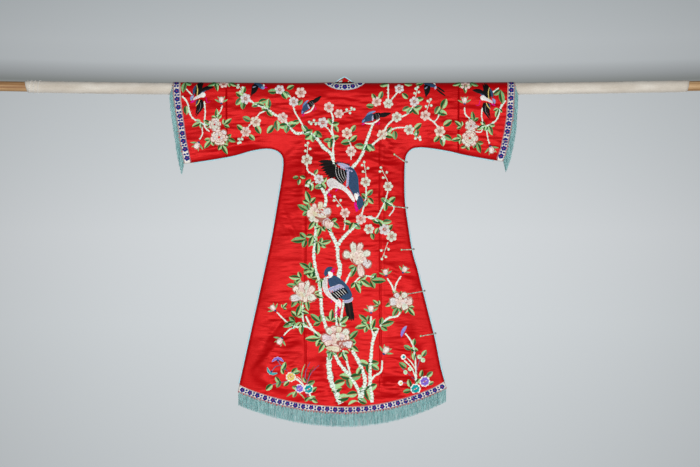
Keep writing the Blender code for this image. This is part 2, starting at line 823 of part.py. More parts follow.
def cuff_fringe(hand, side, name):
    """Strands beside a cuff's open edge, which hang down close along it."""
    pitch = CUFF_STRAND["pitch"]
    top = -CUFF_STRAND["start"]
    bottom = CUFF_TABLE[hand][-1][1] + CUFF_STRAND["stop"]
    count = int((top - bottom) / pitch) + 1
    out = 2 * GAP + FRINGE_BAND
    roots = []
    for i in range(count):
        v = top + i * (bottom - top) / (count - 1)
        spot = place(cuff_x(hand, v), v, side)
        roots.append(spot + Vector((hand * out, 0, 0)))

    def drop(i):
        length = CUFF_STRAND["length"]
        lean = CUFF_STRAND["lean"]
        return Vector((hand * lean, 0, -1)).normalized() * length

    fringe(name, roots, Vector((0, side, 0)), Vector((-hand, 0, 0)), drop,
           CUFF_STRAND["width"])


# Fastenings

def button(name, centre):
    shape = bmesh.new()
    bmesh.ops.create_uvsphere(shape, u_segments=8, v_segments=6, radius=BUTTON_RADIUS)
    mesh = bpy.data.meshes.new(name)
    shape.to_mesh(mesh)
    shape.free()
    mesh.shade_smooth()
    obj = add_object(name, mesh, "button")
    obj.location = centre
    return obj


def toward(centre, point, distance):
    """A point at a distance from a centre on the way to another point."""
    return centre + (point - centre).normalized() * distance


def side_fastening(index, edge_v, reach_x, reach_v):
    """A loop from the back round the piping to a ball, and the ball's own cord on the front."""
    edge = Vector((side_x(1, edge_v), edge_v))
    below = Vector((side_x(1, edge_v - 0.02), edge_v - 0.02))
    along = (below - edge).normalized()
    out = Vector((-along.y, along.x))

    def beyond(distance, y):
        spot = edge + out * distance
        return Vector((spot.x, y, spot.y))

    ball = beyond(BUTTON_OUT, 0.0)
    button("button_%d" % index, ball)
    shares = (1.0, 0.85, 0.68, 0.5, 0.34, 0.2, 0.1, 0.03)
    route = [on_cloth(edge.x + reach_x * s, edge_v + reach_v * s, -1, CORD_LAY)
             for s in shares]
    bend = beyond(*LOOP_BEND)
    route += [bend, toward(ball, bend, BUTTON_RADIUS + BUTTON_SEAT)]
    tube("loop_%d" % index, route, CORD_RADIUS, "cord")
    route = [on_cloth(edge.x - FRONT_CORD[0] * s, edge_v - FRONT_CORD[1] * s, 1, CORD_LAY, True)
             for s in shares]
    bend = beyond(*KNOT_BEND)
    route += [bend, toward(ball, bend, BUTTON_RADIUS + BUTTON_SEAT)]
    tube("knot_cord_%d" % index, route, CORD_RADIUS, "cord")


def curve_fastening(index, share, length):
    """A ball beyond the overlap's curved edge, with a cord on the overlap and one below it."""
    curve = smooth_line(OVERLAP_TABLE, 6)
    i = round(share * (len(curve) - 1))
    edge = curve[i]
    out = outward(curve, i) * -1
    spot = edge + out * BUTTON_OUT
    ball = on_cloth(spot.x, spot.y, 1, CLOTH / 2 + BUTTON_SEAT + BUTTON_RADIUS)
    button("button_%d" % index, ball)
    steps = (1.0, 0.75, 0.5, 0.25, 0.04)
    route = []
    for step in steps:
        spot = edge - out * length * step
        route.append(on_cloth(spot.x, spot.y, 1, CORD_LAY, True))
    spot = edge + out * CURVE_BEND[0]
    bend = on_cloth(spot.x, spot.y, 1, LAYER + CORD_LAY + CURVE_BEND[1])
    route += [bend, toward(ball, bend, BUTTON_RADIUS + BUTTON_SEAT)]
    tube("knot_cord_%d" % index, route, CORD_RADIUS, "cord")
    route = []
    for step in steps[:-1]:
        spot = edge + out * (CURVE_LOOP_START + length * step)
        route.append(on_cloth(spot.x, spot.y, 1, CORD_LAY))
    route.append(toward(ball, route[-1], BUTTON_RADIUS + BUTTON_SEAT))
    tube("loop_%d" % index, route, CORD_RADIUS, "cord")


# Pole

def stations(low, high, step):
    count = max(1, round((high - low) / step))
    return [low + (high - low) * k / count for k in range(count + 1)]


def pole():
    """Straight for a short way at each end, so that both end faces stand square."""
    low, high = POLE_ENDS[0] + POLE_SQUARE, POLE_ENDS[1] - POLE_SQUARE
    route = [Vector((x, 0, pole_lift(x))) for x in stations(low, high, POLE_STATION)]
    route.insert(0, Vector((POLE_ENDS[0], 0, route[0].z)))
    route.append(Vector((POLE_ENDS[1], 0, route[-1].z)))
    tube("pole", route, POLE_RADIUS, "wood", 4)


def wrap():
    """Cotton wound round the pole, as a sleeve open at both ends."""
    middle = WRAP_RADIUS - WRAP_WALL / 2
    points = []
    faces = []
    xs = stations(WRAP_ENDS[0], WRAP_ENDS[1], POLE_STATION)
    for x in xs:
        for k in range(ROUND_SIDES):
            turn = 2 * math.pi * k / ROUND_SIDES
            points.append(Vector((x, middle * math.cos(turn),
                                  pole_lift(x) + middle * math.sin(turn))))
    for i in range(len(xs) - 1):
        for k in range(ROUND_SIDES):
            j = (k + 1) % ROUND_SIDES
            a, b = i * ROUND_SIDES, (i + 1) * ROUND_SIDES
            faces.append([a + k, a + j, b + j, b + k])
    wall("pole_wrap", points, faces, lambda point: Vector((0, point.y, point.z)), WRAP_WALL,
         "cotton")


def yarn():
    """Yarn wound in slanted turns that holds the wrap's left end."""
    per_turn = 20
    radius = WRAP_RADIUS + YARN_RADIUS + 2.2 * GAP
    route = []
    for k in range(int(YARN_TURNS * per_turn) + 1):
        turn = 2 * math.pi * k / per_turn
        x = WRAP_ENDS[0] + 0.006 + YARN_PITCH * k / per_turn
        route.append(Vector((x, radius * math.sin(turn), pole_lift(x) + radius * math.cos(turn))))
    tube("wrap_yarn", route, YARN_RADIUS, "cotton", 1)


def build():
    pole()
    wrap()
    yarn()
    back_panel()
    overlap_panel()
    under_panel()
    for hand, name in HANDS:
        sleeve_end(hand, name)
        seam_piping(hand, name)
        for side, face in ((-1, "back"), (1, "front")):
            cuff_fringe(hand, side, "cuff_fringe_%s_%s" % (name, face))
    overlap_piping()
    hem_fringe(-1, "hem_fringe_back")
    hem_fringe(1, "hem_fringe_front")
    for index, row in enumerate(SIDE_FASTENINGS, 1):
        side_fastening(index, *row)
    for index, row in enumerate(CURVE_FASTENINGS, len(SIDE_FASTENINGS) + 1):
        curve_fastening(index, *row)


clear_scene()
ROBE = bpy.data.collections.new("theatrical_robe")
bpy.context.scene.collection.children.link(ROBE)
SEAM = {hand: thin_line(smooth_line(SEAM_TABLE[hand], SEAM_STEPS), SEAM_SPACING)
        for hand in (-1, 1)}
build()
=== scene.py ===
"""Looks of a theatrical robe hung flat on a cotton-wrapped wooden pole.

The robe's back faces -Y, towards the camera. Cloth, ribbons and stitching are laid out in the
robe's flat pattern: x runs across and v up, with v 0 level with the pole's axis and v above 0
measured over the pole's quarter turn. lay() and on_cloth() put pattern points in their place.
The embroidery's layout is in squares of 4 mm, counted right of and below a point at the neck.
"""
import math

import bmesh
import bpy
import numpy as np
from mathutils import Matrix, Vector
from mathutils.geometry import delaunay_2d_cdt

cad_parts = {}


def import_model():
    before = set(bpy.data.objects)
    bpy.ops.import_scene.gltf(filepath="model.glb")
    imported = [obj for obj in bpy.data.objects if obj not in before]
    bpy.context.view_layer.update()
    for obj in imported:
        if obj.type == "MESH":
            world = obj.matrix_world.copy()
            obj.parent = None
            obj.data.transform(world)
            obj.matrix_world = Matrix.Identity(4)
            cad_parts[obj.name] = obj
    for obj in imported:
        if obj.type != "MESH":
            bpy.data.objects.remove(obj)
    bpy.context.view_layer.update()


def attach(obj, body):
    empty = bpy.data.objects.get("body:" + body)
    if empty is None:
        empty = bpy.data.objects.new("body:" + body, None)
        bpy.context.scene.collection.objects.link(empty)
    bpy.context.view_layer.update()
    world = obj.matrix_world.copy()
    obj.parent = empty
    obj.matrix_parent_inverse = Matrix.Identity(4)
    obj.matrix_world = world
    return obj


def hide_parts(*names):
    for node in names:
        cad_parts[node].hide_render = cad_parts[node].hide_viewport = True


# Pole and its cotton wrap
POLE_RADIUS = 0.020
POLE_ENDS = (-1.45, 1.51)
POLE_SQUARE = 0.03
POLE_SAG = 0.014
SAG_HALF_SPAN = 1.40
WRAP_RADIUS = 0.024
WRAP_ENDS = (-1.270, 1.385)
WRAP_SLANT = (0.011, 0.010)
WRAP_WALL = 0.0028
YARN_RADIUS = 0.0012
YARN_TURNS = 3.5
YARN_PITCH = 0.017

# Cloth
CLOTH = 0.0009
RIBBON_WALL = 0.0005
FOLD_RADIUS = 0.0275
FOLD_SINK = 0.0018
FOLD_TOP = FOLD_RADIUS * math.pi / 2
LOW_DEPTH = 0.014
POLE_REACH = 0.15
SEAM_HALF = 0.00095
EDGE_ROUND = 0.008
EDGE_LEAN = 0.16
SLEEVE_LEAN = 0.042
LAYER = 0.0026
RIM_SINK = 0.00012
MESH_X = 0.0066
MESH_V = 0.0038
OUTLINE_STEP = 0.005
RING_ROWS = 76
# The two pressed lines down the skirt, and the finer rows of the mesh beside each
CREASE_LINES = (-0.1515, 0.1485)
CREASE_ROWS = (-0.0045, -0.002, 0, 0.002, 0.0045)

# Cut of the robe
HANDS = ((-1, "left"), (1, "right"))
SIDES = ((-1, "back"), (1, "front"))
SLEEVE_SEAM = {-1: -0.464, 1: 0.460}
HEM_LOW = (0.008, -1.2924)
HEM_RISE = {-1: 0.0854, 1: 0.0996}
HEM_HALF = {-1: 0.428, 1: 0.4056}
HEM_RIBBON = 0.026
CUFF_RIBBON = 0.028
NECK_X = 0.007
NECK_HALF = 0.043
NECK_DROP = 0.0140
NECK_RIBBON_HALF = 0.083
NECK_RIBBON_DROP = 0.0425
UNDERLAP = 0.050
UNDERLAP_END = -1.10
UNDERLAP_TOP = -0.38
UNDERARM_V = -0.262
SIDE_TOP_V = -0.25
SIDE_REACH = 0.43


def mm(*rows):
    """Rows of lengths in millimetres, as an array in metres."""
    return np.array(rows) / 1000


# Seam from cuff to underarm to hem, one row a bend: x, v
SEAM_TABLE = {
    -1: mm(
        (-633, -297), (-453, -268), (-368, -245), (-310, -236), (-270, -242), (-244, -264), (-238, -298),
        (-244, -354), (-260, -450), (-280, -570), (-300, -666), (-332, -810), (-364, -954),
        (-396, -1098), (-420, -1207)),
    1: mm(
        (638, -288), (497, -263), (424, -246), (350, -234), (303, -231), (274, -238), (254, -260),
        (247, -294), (245, -360), (247, -450), (260, -546), (277, -650), (297, -720), (318, -805),
        (344, -906), (368, -1002), (391, -1115), (413.6, -1192.8)),
}
# Open edge of each cuff from the fold to the sleeve's bottom: x, v
CUFF_TABLE = {
    -1: ((-0.679, FOLD_TOP), *mm((-673, -49), (-661, -130), (-650, -210), (-633, -297))),
    1: ((0.686, FOLD_TOP), *mm((681.6, -49), (677.6, -116), (668.4, -175), (654.8, -237), (638, -288))),
}
# The overlap's free corner standing up at the neck, then its curved edge to the underarm: x, v
CORNER_TABLE = mm(
    (-44.5, 5), (-40, 22), (-21, 39), (-4, 50), (5.6, 55), (16, 49), (33, 37), (49, 24), (53, 6))
OVERLAP_TABLE = mm((53, 6), (66, -30), (105, -88), (160, -140), (210, -188), (240, -230), (254, -260))
UNDER_TABLE = mm((62, 6), (44, -30), (52, -90), (105, -156), (164, -214), (190, -270), (195, -360))
NOTCH_X = -0.0475
NOTCH_LEAN = 0.33
NOTCH_TOP_X = -0.0380
NOTCH_FOOT = (-0.0510, 0.0060)

# Soft folds: x and v of both ends, half width, height outwards
FOLDS = {
    -1: mm(
        (-152, -120, -150, -1260, 34, 3), (148, -120, 146, -1260, 34, 3),
        (-140, -900, -340, -1150, 40, 7.5), (-40, -950, -90, -1280, 45, -6),
        (220, -900, 310, -1200, 45, 6.5), (40, -700, 50, -1280, 55, -5),
        (-80, -1080, -30, -1270, 20, -4), (150, -1160, 300, -1220, 18, -4),
        (-370, -1140, -200, -1210, 18, 4), (-220, -300, -80, -460, 36, 3), (230, -300, 90, -440, 36, 3)),
    1: mm(
        (-150, -140, -150, -1260, 34, 3), (150, -400, 146, -1260, 34, 3),
        (-120, -950, -300, -1180, 50, 5), (10, -850, 20, -1280, 55, -4), (190, -880, 280, -1200, 50, 5),
        (-220, -300, -60, -500, 36, 3)),
}
# Creases where the robe was folded away or pulls, the same columns; narrow and sharp
CREASES = {
    -1: mm(
        (-152, -100, -150, -1290, 3.6, -2.2), (-143, -100, -141, -1290, 5.5, 0.6),
        (148, -40, 149, -1290, 3.6, -2.2), (157, -40, 158, -1290, 6, 0.7),
        (-250, -460, -170, -620, 9, -1.8), (-262, -500, -200, -600, 8, 1.4),
        (-330, -1040, -230, -900, 11, -2), (-370, -1140, -250, -1000, 12, 2.2),
        (-300, -1180, -160, -1060, 10, -1.6), (210, -240, 120, -160, 9, 1.4),
        (225, -270, 150, -210, 8, -1.3), (-232, -270, -150, -200, 9, 1.2),
        (220, -580, 160, -500, 9, -1.2), (290, -780, 180, -700, 11, 1.6),
        (340, -1020, 200, -1100, 12, -1.8), (360, -1120, 240, -1200, 12, 1.8),
        (-560, -245, -350, -215, 10, 1.8), (-600, -262, -470, -240, 8, -1.6),
        (-520, -208, -400, -190, 8, -1.2), (360, -218, 560, -236, 10, 1.8),
        (420, -226, 600, -258, 8, -1.6), (330, -60, 450, -48, 9, -1), (-430, -50, -300, -62, 9, -1)),
    1: mm(
        (-150, -100, -150, -1290, 5, -1.2), (148, -300, 149, -1290, 5, -1.2),
        (-250, -500, -160, -660, 9, 1.6), (-350, -1100, -220, -960, 12, -2),
        (290, -840, 180, -740, 11, 1.8), (350, -1080, 210, -1160, 12, -1.8),
        (-560, -240, -350, -212, 10, 1.8), (360, -216, 560, -240, 10, 1.8)),
}
# Small crosswise puckers: length, height and depth of each layer, and its seed
PUCKERS = ((0.046, 0.0095, 0.00125, 11), (0.026, 0.0070, 0.00060, 12), (0.100, 0.028, 0.00240, 13))
SEAM_GROOVE = (0.0022, 0.00012)

# Trim
PIPING_WIDE = 0.0026
PIPING_THICK = 0.0014
PIPING_OUT = 0.0030
TRIM_CLEAR = 0.002
CORD_STEP = 0.0008
CORD_RADIUS = 0.0023
BUTTON_RADIUS = 0.0040
BUTTON_OUT = 0.0080
SIDE_FASTENINGS = ((-0.290, -0.040, 0.028), (-0.474, -0.043, 0.006), (-0.640, -0.039, -0.001),
                   (-0.807, -0.056, -0.010), (-0.977, -0.049, -0.008))
FRONT_CORD = (0.040, 0.004)
LOOP_BEND = (0.0042, -0.0040)
KNOT_BEND = (0.0050, 0.0076)
CURVE_FASTENINGS = ((0.12, 0.034), (0.62, 0.036))
CURVE_BEND = (0.0042, 0.0028)
CURVE_LOOP_START = BUTTON_OUT + 0.003
CORD_LAY = CLOTH / 2 + 0.0004 + CORD_RADIUS

# Camera and stage
VIEW_CENTRE = (0.028, -0.576)
VIEW_WIDTH = 2.8
CAMERA_AWAY = 5
SENSOR = 36
FLOOR_Z = -1.9
# Plain threads and cords: use, name, dark and light tone, roughness, size and depth of streaks
CORDS = (
    ("piping", "pale_blue_piping", (150, 196, 208), (182, 220, 230), 0.55, (500, 500, 500), 0.0003),
    ("fringe", "teal_silk_fringe", (102, 164, 167), (160, 208, 208), 0.5, (160, 160, 14), 0.0003),
    ("heading", "red_heading_knots", (140, 50, 44), (222, 40, 32), 0.6, (24, 24, 24), 0.0003),
    ("cord", "bound_cord", (46, 54, 66), (222, 226, 200), 0.6, (170, 170, 170), 0.0003),
    ("knot", "dark_knot_cord", (84, 74, 72), (150, 138, 130), 0.5, (700, 700, 700), 0.0003),
    ("yarn", "white_yarn", (206, 204, 200), (238, 237, 233), 0.8, (700, 700, 700), 0.0004),
)
# place, size, watts and colour of each lamp
LIGHTS = (
    ("left_light", (-0.9, -4.6, -1.15), 0.5, 112, (1, 0.995, 0.98)),
    ("right_light", (1, -4.6, -1.15), 0.5, 108, (1, 0.995, 0.98)),
    ("back_light", (0.4, 4, -0.4), 1.6, 90, (1, 1, 1)),
)
LIGHTS_AIM = (0, 0, -0.7)
AMBIENT = (0.16, 0.165, 0.17)
# height of the camera's ray and the colour seen there: painted light and shade of a wall, with a painted
# shadow band just above the pole
BACKDROP = (
    (-0.190, 196, 201, 204), (-0.070, 211, 216, 219), (0.000, 214, 218, 221), (0.070, 203, 208, 211),
    (0.112, 196, 201, 204), (0.118, 132, 136, 134), (0.124, 158, 162, 164), (0.134, 186, 191, 194),
    (0.150, 188, 193, 196), (0.190, 175, 181, 184),
)
# painted shade: how fast the backdrop darkens towards both sides, and how dark it may get
BACKDROP_PAINTED_SHADE_FALLOFF = 2.7
BACKDROP_DARKEST_PAINTED_SHADE = 0.6

# A square of the embroidery's layout, and where its count starts
SQUARE = 0.004
LAYOUT_ZERO = (-0.012, -0.002)


def srgb(red, green, blue):
    """A linear colour from the usual 0 to 255 steps."""
    return tuple(((c / 255 + 0.055) / 1.055) ** 2.4 if c > 10 else c / 255 / 12.92
                 for c in (red, green, blue))


# Thread colours of the embroidery and ribbons
THREAD = {name: srgb(*colour) for name, colour in {
    "cream": (255, 249, 236), "sand": (222, 198, 176), "shell": (253, 238, 230),
    "blush": (224, 188, 178), "pearl": (240, 239, 239), "slate": (158, 158, 166),
    "ivory": (247, 250, 238), "celadon": (204, 210, 188), "butter": (246, 240, 216),
    "ecru": (214, 202, 166), "lilac": (246, 234, 238), "mauve": (208, 184, 194), "rose": (190, 124, 110),
    "garnet": (150, 60, 52), "straw": (214, 198, 128), "mint": (214, 246, 218), "bark": (244, 255, 244),
    "moss": (104, 156, 116), "leaf": (42, 104, 50), "fern": (84, 154, 92), "sage": (128, 192, 128),
    "lime": (180, 228, 164), "pine": (22, 74, 34), "ink": (13, 12, 14), "brown": (44, 28, 24),
    "denim": (50, 78, 112), "steel": (34, 92, 128), "dusk": (76, 116, 166), "azure": (146, 176, 220),
    "mist": (214, 208, 208), "lavender": (172, 176, 216), "white": (255, 255, 252),
    "magenta": (238, 4, 150), "violet": (138, 106, 222), "teal": (0, 166, 170), "navy": (26, 44, 132),
    "red": (206, 70, 84), "pink": (170, 120, 132), "gold": (232, 206, 112), "sky": (190, 220, 226),
    "aqua": (164, 222, 206),
}.items()}


# Numbers and lines

def ease(value):
    """Smooth step from 0 to 1."""
    value = np.clip(value, 0, 1)
    return value * value * (3 - 2 * value)


def smooth_line(points, steps):
    """A smooth curve through the points, with each span cut into a number of steps."""
    points = np.asarray(points, float)
    padded = np.vstack((points[:1], points, points[-1:]))
    line = []
    for i in range(len(points) - 1):
        before, start, end, after = padded[i:i + 4]
        for t in np.arange(steps) / steps:
            line.append(0.5 * (2 * start + (end - before) * t
                               + (2 * before - 5 * start + 4 * end - after) * t * t
                               + (3 * start - before - 3 * end + after) * t ** 3))
    line.append(points[-1])
    return np.array(line)


def stem_line(points, steps):
    """A smooth line through the points of a row."""
    return smooth_line(np.reshape(points, (-1, 2)), steps)


def respaced(line, spacing):
    """The same line with its points evenly spaced."""
    lengths = lengths_along(line)
    count = max(1, round(lengths[-1] / spacing))
    wanted = np.linspace(0, lengths[-1], count + 1)
    return np.column_stack([np.interp(wanted, lengths, axis) for axis in line.T])


def lengths_along(line):
    """How far along a line each of its points is."""
    return np.concatenate(([0], np.cumsum(np.linalg.norm(np.diff(line, axis=0), axis=1))))


def unit(rows):
    return rows / np.linalg.norm(rows, axis=-1, keepdims=True)


def paired(first, second):
    return np.stack(np.broadcast_arrays(first, second), axis=-1)


def rightward(line):
    """Unit vectors square to a flat line, on its right as it runs."""
    along = unit(np.gradient(line, axis=0))
    return np.column_stack((along[:, 1], -along[:, 0]))


def read_table(table, given, value, wanted):
    """Read a table of points as a broken line: the wanted column where the given one has a value."""
    rows = np.array(sorted(table, key=lambda row: row[given]), float)
    return np.interp(value, rows[:, given], rows[:, wanted])


def distance_to(line, x, v):
    """Shortest distance from pattern points to a line."""
    best = np.full(np.shape(x), 10)
    for (ax, av), (bx, bv) in zip(line, line[1:]):
        dx, dv = bx - ax, bv - av
        share = np.clip(((x - ax) * dx + (v - av) * dv) / (dx * dx + dv * dv), 0, 1)
        best = np.minimum(best, np.hypot(ax + share * dx - x, av + share * dv - v))
    return best


def inside(outline, x, v):
    """Which pattern points lie inside a closed outline."""
    result = np.zeros(np.shape(x), bool)
    for (ax, av), (bx, bv) in zip(outline, np.roll(outline, -1, axis=0)):
        if av != bv:
            crosses = ((av > v) != (bv > v)) & (x < (bx - ax) * (v - av) / (bv - av) + ax)
            result ^= crosses
    return result


def lumps(x, v, length, height, seed):
    """Smooth random lumps from -1 to 1 over the pattern, of a given length and height."""
    table = np.random.default_rng(seed).uniform(-1, 1, (128, 128))
    across = np.asarray(x) / length + 50
    up = np.asarray(v) / height + 900
    i = np.floor(across).astype(int)
    j = np.floor(up).astype(int)
    s = ease(across - i)
    t = ease(up - j)
    low = table[i % 128, j % 128] * (1 - s) + table[(i + 1) % 128, j % 128] * s
    high = table[i % 128, (j + 1) % 128] * (1 - s) + table[(i + 1) % 128, (j + 1) % 128] * s
    return low * (1 - t) + high * t


# Place of the cloth

SEAM = {hand: smooth_line(SEAM_TABLE[hand], 5) for hand in (-1, 1)}
SEAM_COARSE = {hand: smooth_line(SEAM_TABLE[hand], 2) for hand in (-1, 1)}


def cuff_x(hand, v):
    return read_table(CUFF_TABLE[hand], 1, v, 0)


def hem_v(x):
    x = np.asarray(x, float)
    rise = np.where(x < HEM_LOW[0], HEM_RISE[-1], HEM_RISE[1])
    half = np.where(x < HEM_LOW[0], HEM_HALF[-1], HEM_HALF[1])
    return HEM_LOW[1] + rise * ((x - HEM_LOW[0]) / half) ** 2


def side_x(hand, v):
    """Where the side seam is at a height below the underarm."""
    seam = SEAM[hand]
    return read_table(seam[(seam[:, 1] < SIDE_TOP_V) & (np.abs(seam[:, 0]) < SIDE_REACH)], 1, v, 0)


def sleeve_bottom(hand, x):
    """Height of the sleeve's bottom seam at an x between the underarm and the cuff."""
    seam = SEAM[hand]
    sleeve = seam[np.abs(seam[:, 0]) > 0.32]
    return read_table(sleeve, 0, x, 1)


def pole_lift(x):
    """Height of the sagging pole's axis."""
    return POLE_SAG * (np.asarray(x) / SAG_HALF_SPAN) ** 2


def fold_centre(x):
    """Height of the line that the cloth's turn over the pole is round."""
    return pole_lift(x) - FOLD_SINK


def ridge(rows, x, v):
    """Sum of long soft ridges and troughs, each between its two ends."""
    height = np.zeros(np.shape(x))
    for x0, v0, x1, v1, width, rise in rows:
        dx, dv = x1 - x0, v1 - v0
        share = ((x - x0) * dx + (v - v0) * dv) / (dx * dx + dv * dv)
        across = np.hypot(x0 + share * dx - x, v0 + share * dv - v)
        ends = ease(np.minimum(share, 1 - share) * 4 + 0.2)
        height = height + rise * np.exp(-(across / width) ** 2) * ends
    return height


def puckers(x, v, side):
    """Small crosswise ripples, deeper round the embroidery and on the sleeves' undersides."""
    height = np.zeros(np.shape(x))
    for length, tall, depth, seed in PUCKERS:
        bent = v + 0.010 * lumps(x, v, 0.09, 0.09, seed + 40)
        height = height + depth * lumps(x, bent, length, tall, seed + 3 * (side > 0))
    strength = 0.75 + 0.55 * lumps(x, v, 0.13, 0.13, 31)
    return height * strength


def half_depth(x, v, side):
    """Distance of the cloth from the robe's middle plane."""
    depth = LOW_DEPTH + (FOLD_RADIUS - LOW_DEPTH) * np.exp(-(v / POLE_REACH) ** 2)
    to_seam = np.minimum(distance_to(SEAM_COARSE[-1], x, v), distance_to(SEAM_COARSE[1], x, v))
    depth = depth + ridge(FOLDS[side], x, v) * ease(to_seam / 0.09) * ease(-v / POLE_REACH - 0.3)
    fine = ridge(CREASES[side], x, v) * ease(-v / 0.05) + puckers(x, v, side) * ease(-v / 0.035)
    depth = depth + fine * ease(to_seam / 0.022)
    for hand in (-1, 1):
        depth = depth - SEAM_GROOVE[1] * np.exp(-((x - SLEEVE_SEAM[hand]) / SEAM_GROOVE[0]) ** 2
                                                ) * ease(-v / 0.02)
    inset = 1 - np.minimum(to_seam / EDGE_ROUND, 1)
    on_sleeve = ease((np.abs(x) - 0.27) / 0.08) * ease((v + 0.42) / 0.08)
    reach = EDGE_LEAN + (SLEEVE_LEAN - EDGE_LEAN) * on_sleeve
    lean = 1 - (1 - np.minimum(to_seam / reach, 1)) ** (2.2 - on_sleeve)
    return SEAM_HALF + (depth - SEAM_HALF) * (0.2 * np.sqrt(1 - inset * inset) + 0.8 * lean)


def overlap_extra(x):
    return LAYER * ease((x + 0.20) / 0.20)


def lay(x, v, side, overlap=False):
    """Lay pattern points in their place; side is -1 for the back and 1 for the front."""
    x, v = np.broadcast_arrays(np.asarray(x, float), np.asarray(v, float))
    extra = overlap_extra(x) if overlap else np.zeros(x.shape)
    settled = np.clip(1 + v / POLE_REACH, 0, None)
    centre = fold_centre(x)
    y = side * (half_depth(x, np.minimum(v, 0), side) + extra)
    z = v + centre * settled
    angle = v / FOLD_RADIUS
    radius = FOLD_RADIUS + extra
    y = np.where(v > 0, side * radius * np.cos(angle), y)
    z = np.where(v > 0, centre + radius * np.sin(angle), z)
    if overlap:
        standing = (v > 0) & (x > NOTCH_X + NOTCH_LEAN * v)
        y = np.where(standing, side * radius, y)
        z = np.where(standing, v + centre, z)
    return np.stack((x, y, z), axis=-1)


def on_cloth(x, v, side, out, overlap=False):
    """Points at a distance outside the cloth's middle surface."""
    nudge = 0.0008
    across = lay(x + nudge, v, side, overlap) - lay(x - nudge, v, side, overlap)
    up = lay(x, v + nudge, side, overlap) - lay(x, v - nudge, side, overlap)
    normal = unit(np.cross(across, up))
    normal *= np.where(normal[..., 1:2] * side < 0, -1, 1)
    return lay(x, v, side, overlap) + normal * np.asarray(out)[..., None]


# Outlines of the panels

def joined(*lines):
    """Lines end to end as one closed outline without repeated points."""
    outline = []
    for point in np.vstack(lines):
        if not outline or np.hypot(*(point - outline[-1])) > 2e-4:
            outline.append(point)
    if np.hypot(*(outline[0] - outline[-1])) < 2e-4:
        outline.pop()
    return np.array(outline)


def straight(start, end):
    return respaced(np.array((start, end), float), OUTLINE_STEP)


def sleeve_line(hand):
    x = SLEEVE_SEAM[hand]
    return straight((x, FOLD_TOP), (x, sleeve_bottom(hand, x)))


def body_seam(hand):
    """The seam from the sleeve's end piece to the hem."""
    x = SLEEVE_SEAM[hand]
    seam = SEAM[hand]
    rest = seam[np.abs(seam[:, 0]) < abs(x) - 0.006]
    corner = np.array([[x, sleeve_bottom(hand, x)]])
    return respaced(np.vstack((corner, rest)), OUTLINE_STEP)


def hem_line(start, end):
    xs = np.linspace(start, end, round(abs(end - start) / OUTLINE_STEP) + 1)
    return np.column_stack((xs, hem_v(xs)))


def oval(half, drop, count):
    """Half an oval hanging from the top fold, from left to right."""
    turns = np.linspace(0, math.pi, count)
    return np.column_stack((NECK_X - half * np.cos(turns), FOLD_TOP - drop * np.sin(turns)))


def back_outline():
    neck = oval(NECK_HALF, NECK_DROP, 25)
    left, right = body_seam(-1), body_seam(1)
    return joined(straight((SLEEVE_SEAM[-1], FOLD_TOP), neck[0]), neck,
                  straight(neck[-1], (SLEEVE_SEAM[1], FOLD_TOP)), sleeve_line(1), right,
                  hem_line(right[-1][0], left[-1][0]), left[::-1], sleeve_line(-1)[::-1])


def overlap_edge():
    """The overlap's free edge: its standing corner, then its curve to the right underarm."""
    corner = respaced(np.array(CORNER_TABLE), OUTLINE_STEP)
    curve = respaced(smooth_line(OVERLAP_TABLE, 6), OUTLINE_STEP)
    return np.vstack((corner, curve[1:]))


def right_side():
    """The right side seam from the underarm down to the hem."""
    seam = body_seam(1)
    return seam[(seam[:, 1] < UNDERARM_V) & (seam[:, 0] < SIDE_REACH)]


def overlap_outline():
    left, side = body_seam(-1), right_side()
    notch = straight((NOTCH_TOP_X, FOLD_TOP), NOTCH_FOOT)
    return joined(straight((SLEEVE_SEAM[-1], FOLD_TOP), notch[0]), notch, overlap_edge(), side,
                  hem_line(side[-1][0], left[-1][0]), left[::-1], sleeve_line(-1)[::-1])


def under_outline():
    seam = body_seam(1)
    seam = seam[seam[:, 1] > UNDERLAP_END]
    heights = np.arange(UNDERLAP_END, UNDERLAP_TOP, 0.02)
    strip = np.column_stack((side_x(1, heights) - UNDERLAP, heights))
    neck_x = NECK_X + NECK_HALF + 0.002
    neck = straight(UNDER_TABLE[0], (neck_x, FOLD_TOP))
    return joined(straight((neck_x, FOLD_TOP), (SLEEVE_SEAM[1], FOLD_TOP)), sleeve_line(1), seam,
                  strip, smooth_line(UNDER_TABLE, 6)[::-1], neck)


# Meshes

def new_piece(name, points, faces, uvs=None):
    """A mesh object from arrays, with pattern places kept as its UV map."""
    mesh = bpy.data.meshes.new(name)
    mesh.from_pydata(np.reshape(points, (-1, 3)).tolist(), [], [tuple(face) for face in faces])
    if uvs is not None:
        layer = mesh.uv_layers.new(name="Pattern")
        corners = np.zeros(len(mesh.loops), int)
        mesh.loops.foreach_get("vertex_index", corners)
        layer.data.foreach_set("uv", np.reshape(uvs, (-1, 2))[corners].ravel())
    mesh.shade_smooth()
    return in_scene(name, mesh)


def thicken(obj, wall, offset=0.0):
    solid = obj.modifiers.new("wall", "SOLIDIFY")
    solid.thickness = wall
    solid.offset = offset
    return obj


def in_scene(name, data):
    """A new object for some data, linked into the scene."""
    obj = bpy.data.objects.new(name, data)
    bpy.context.scene.collection.objects.link(obj)
    return obj


def grid_faces(rows, columns, closed=False, flip=False):
    """Faces of a grid of points stored row by row; closed joins its last column to its first."""
    faces = []
    for i in range(rows - 1):
        for j in range(columns if closed else columns - 1):
            k = (j + 1) % columns
            face = (i * columns + j, i * columns + k, (i + 1) * columns + k, (i + 1) * columns + j)
            faces.append(face[::-1] if flip else face)
    return faces


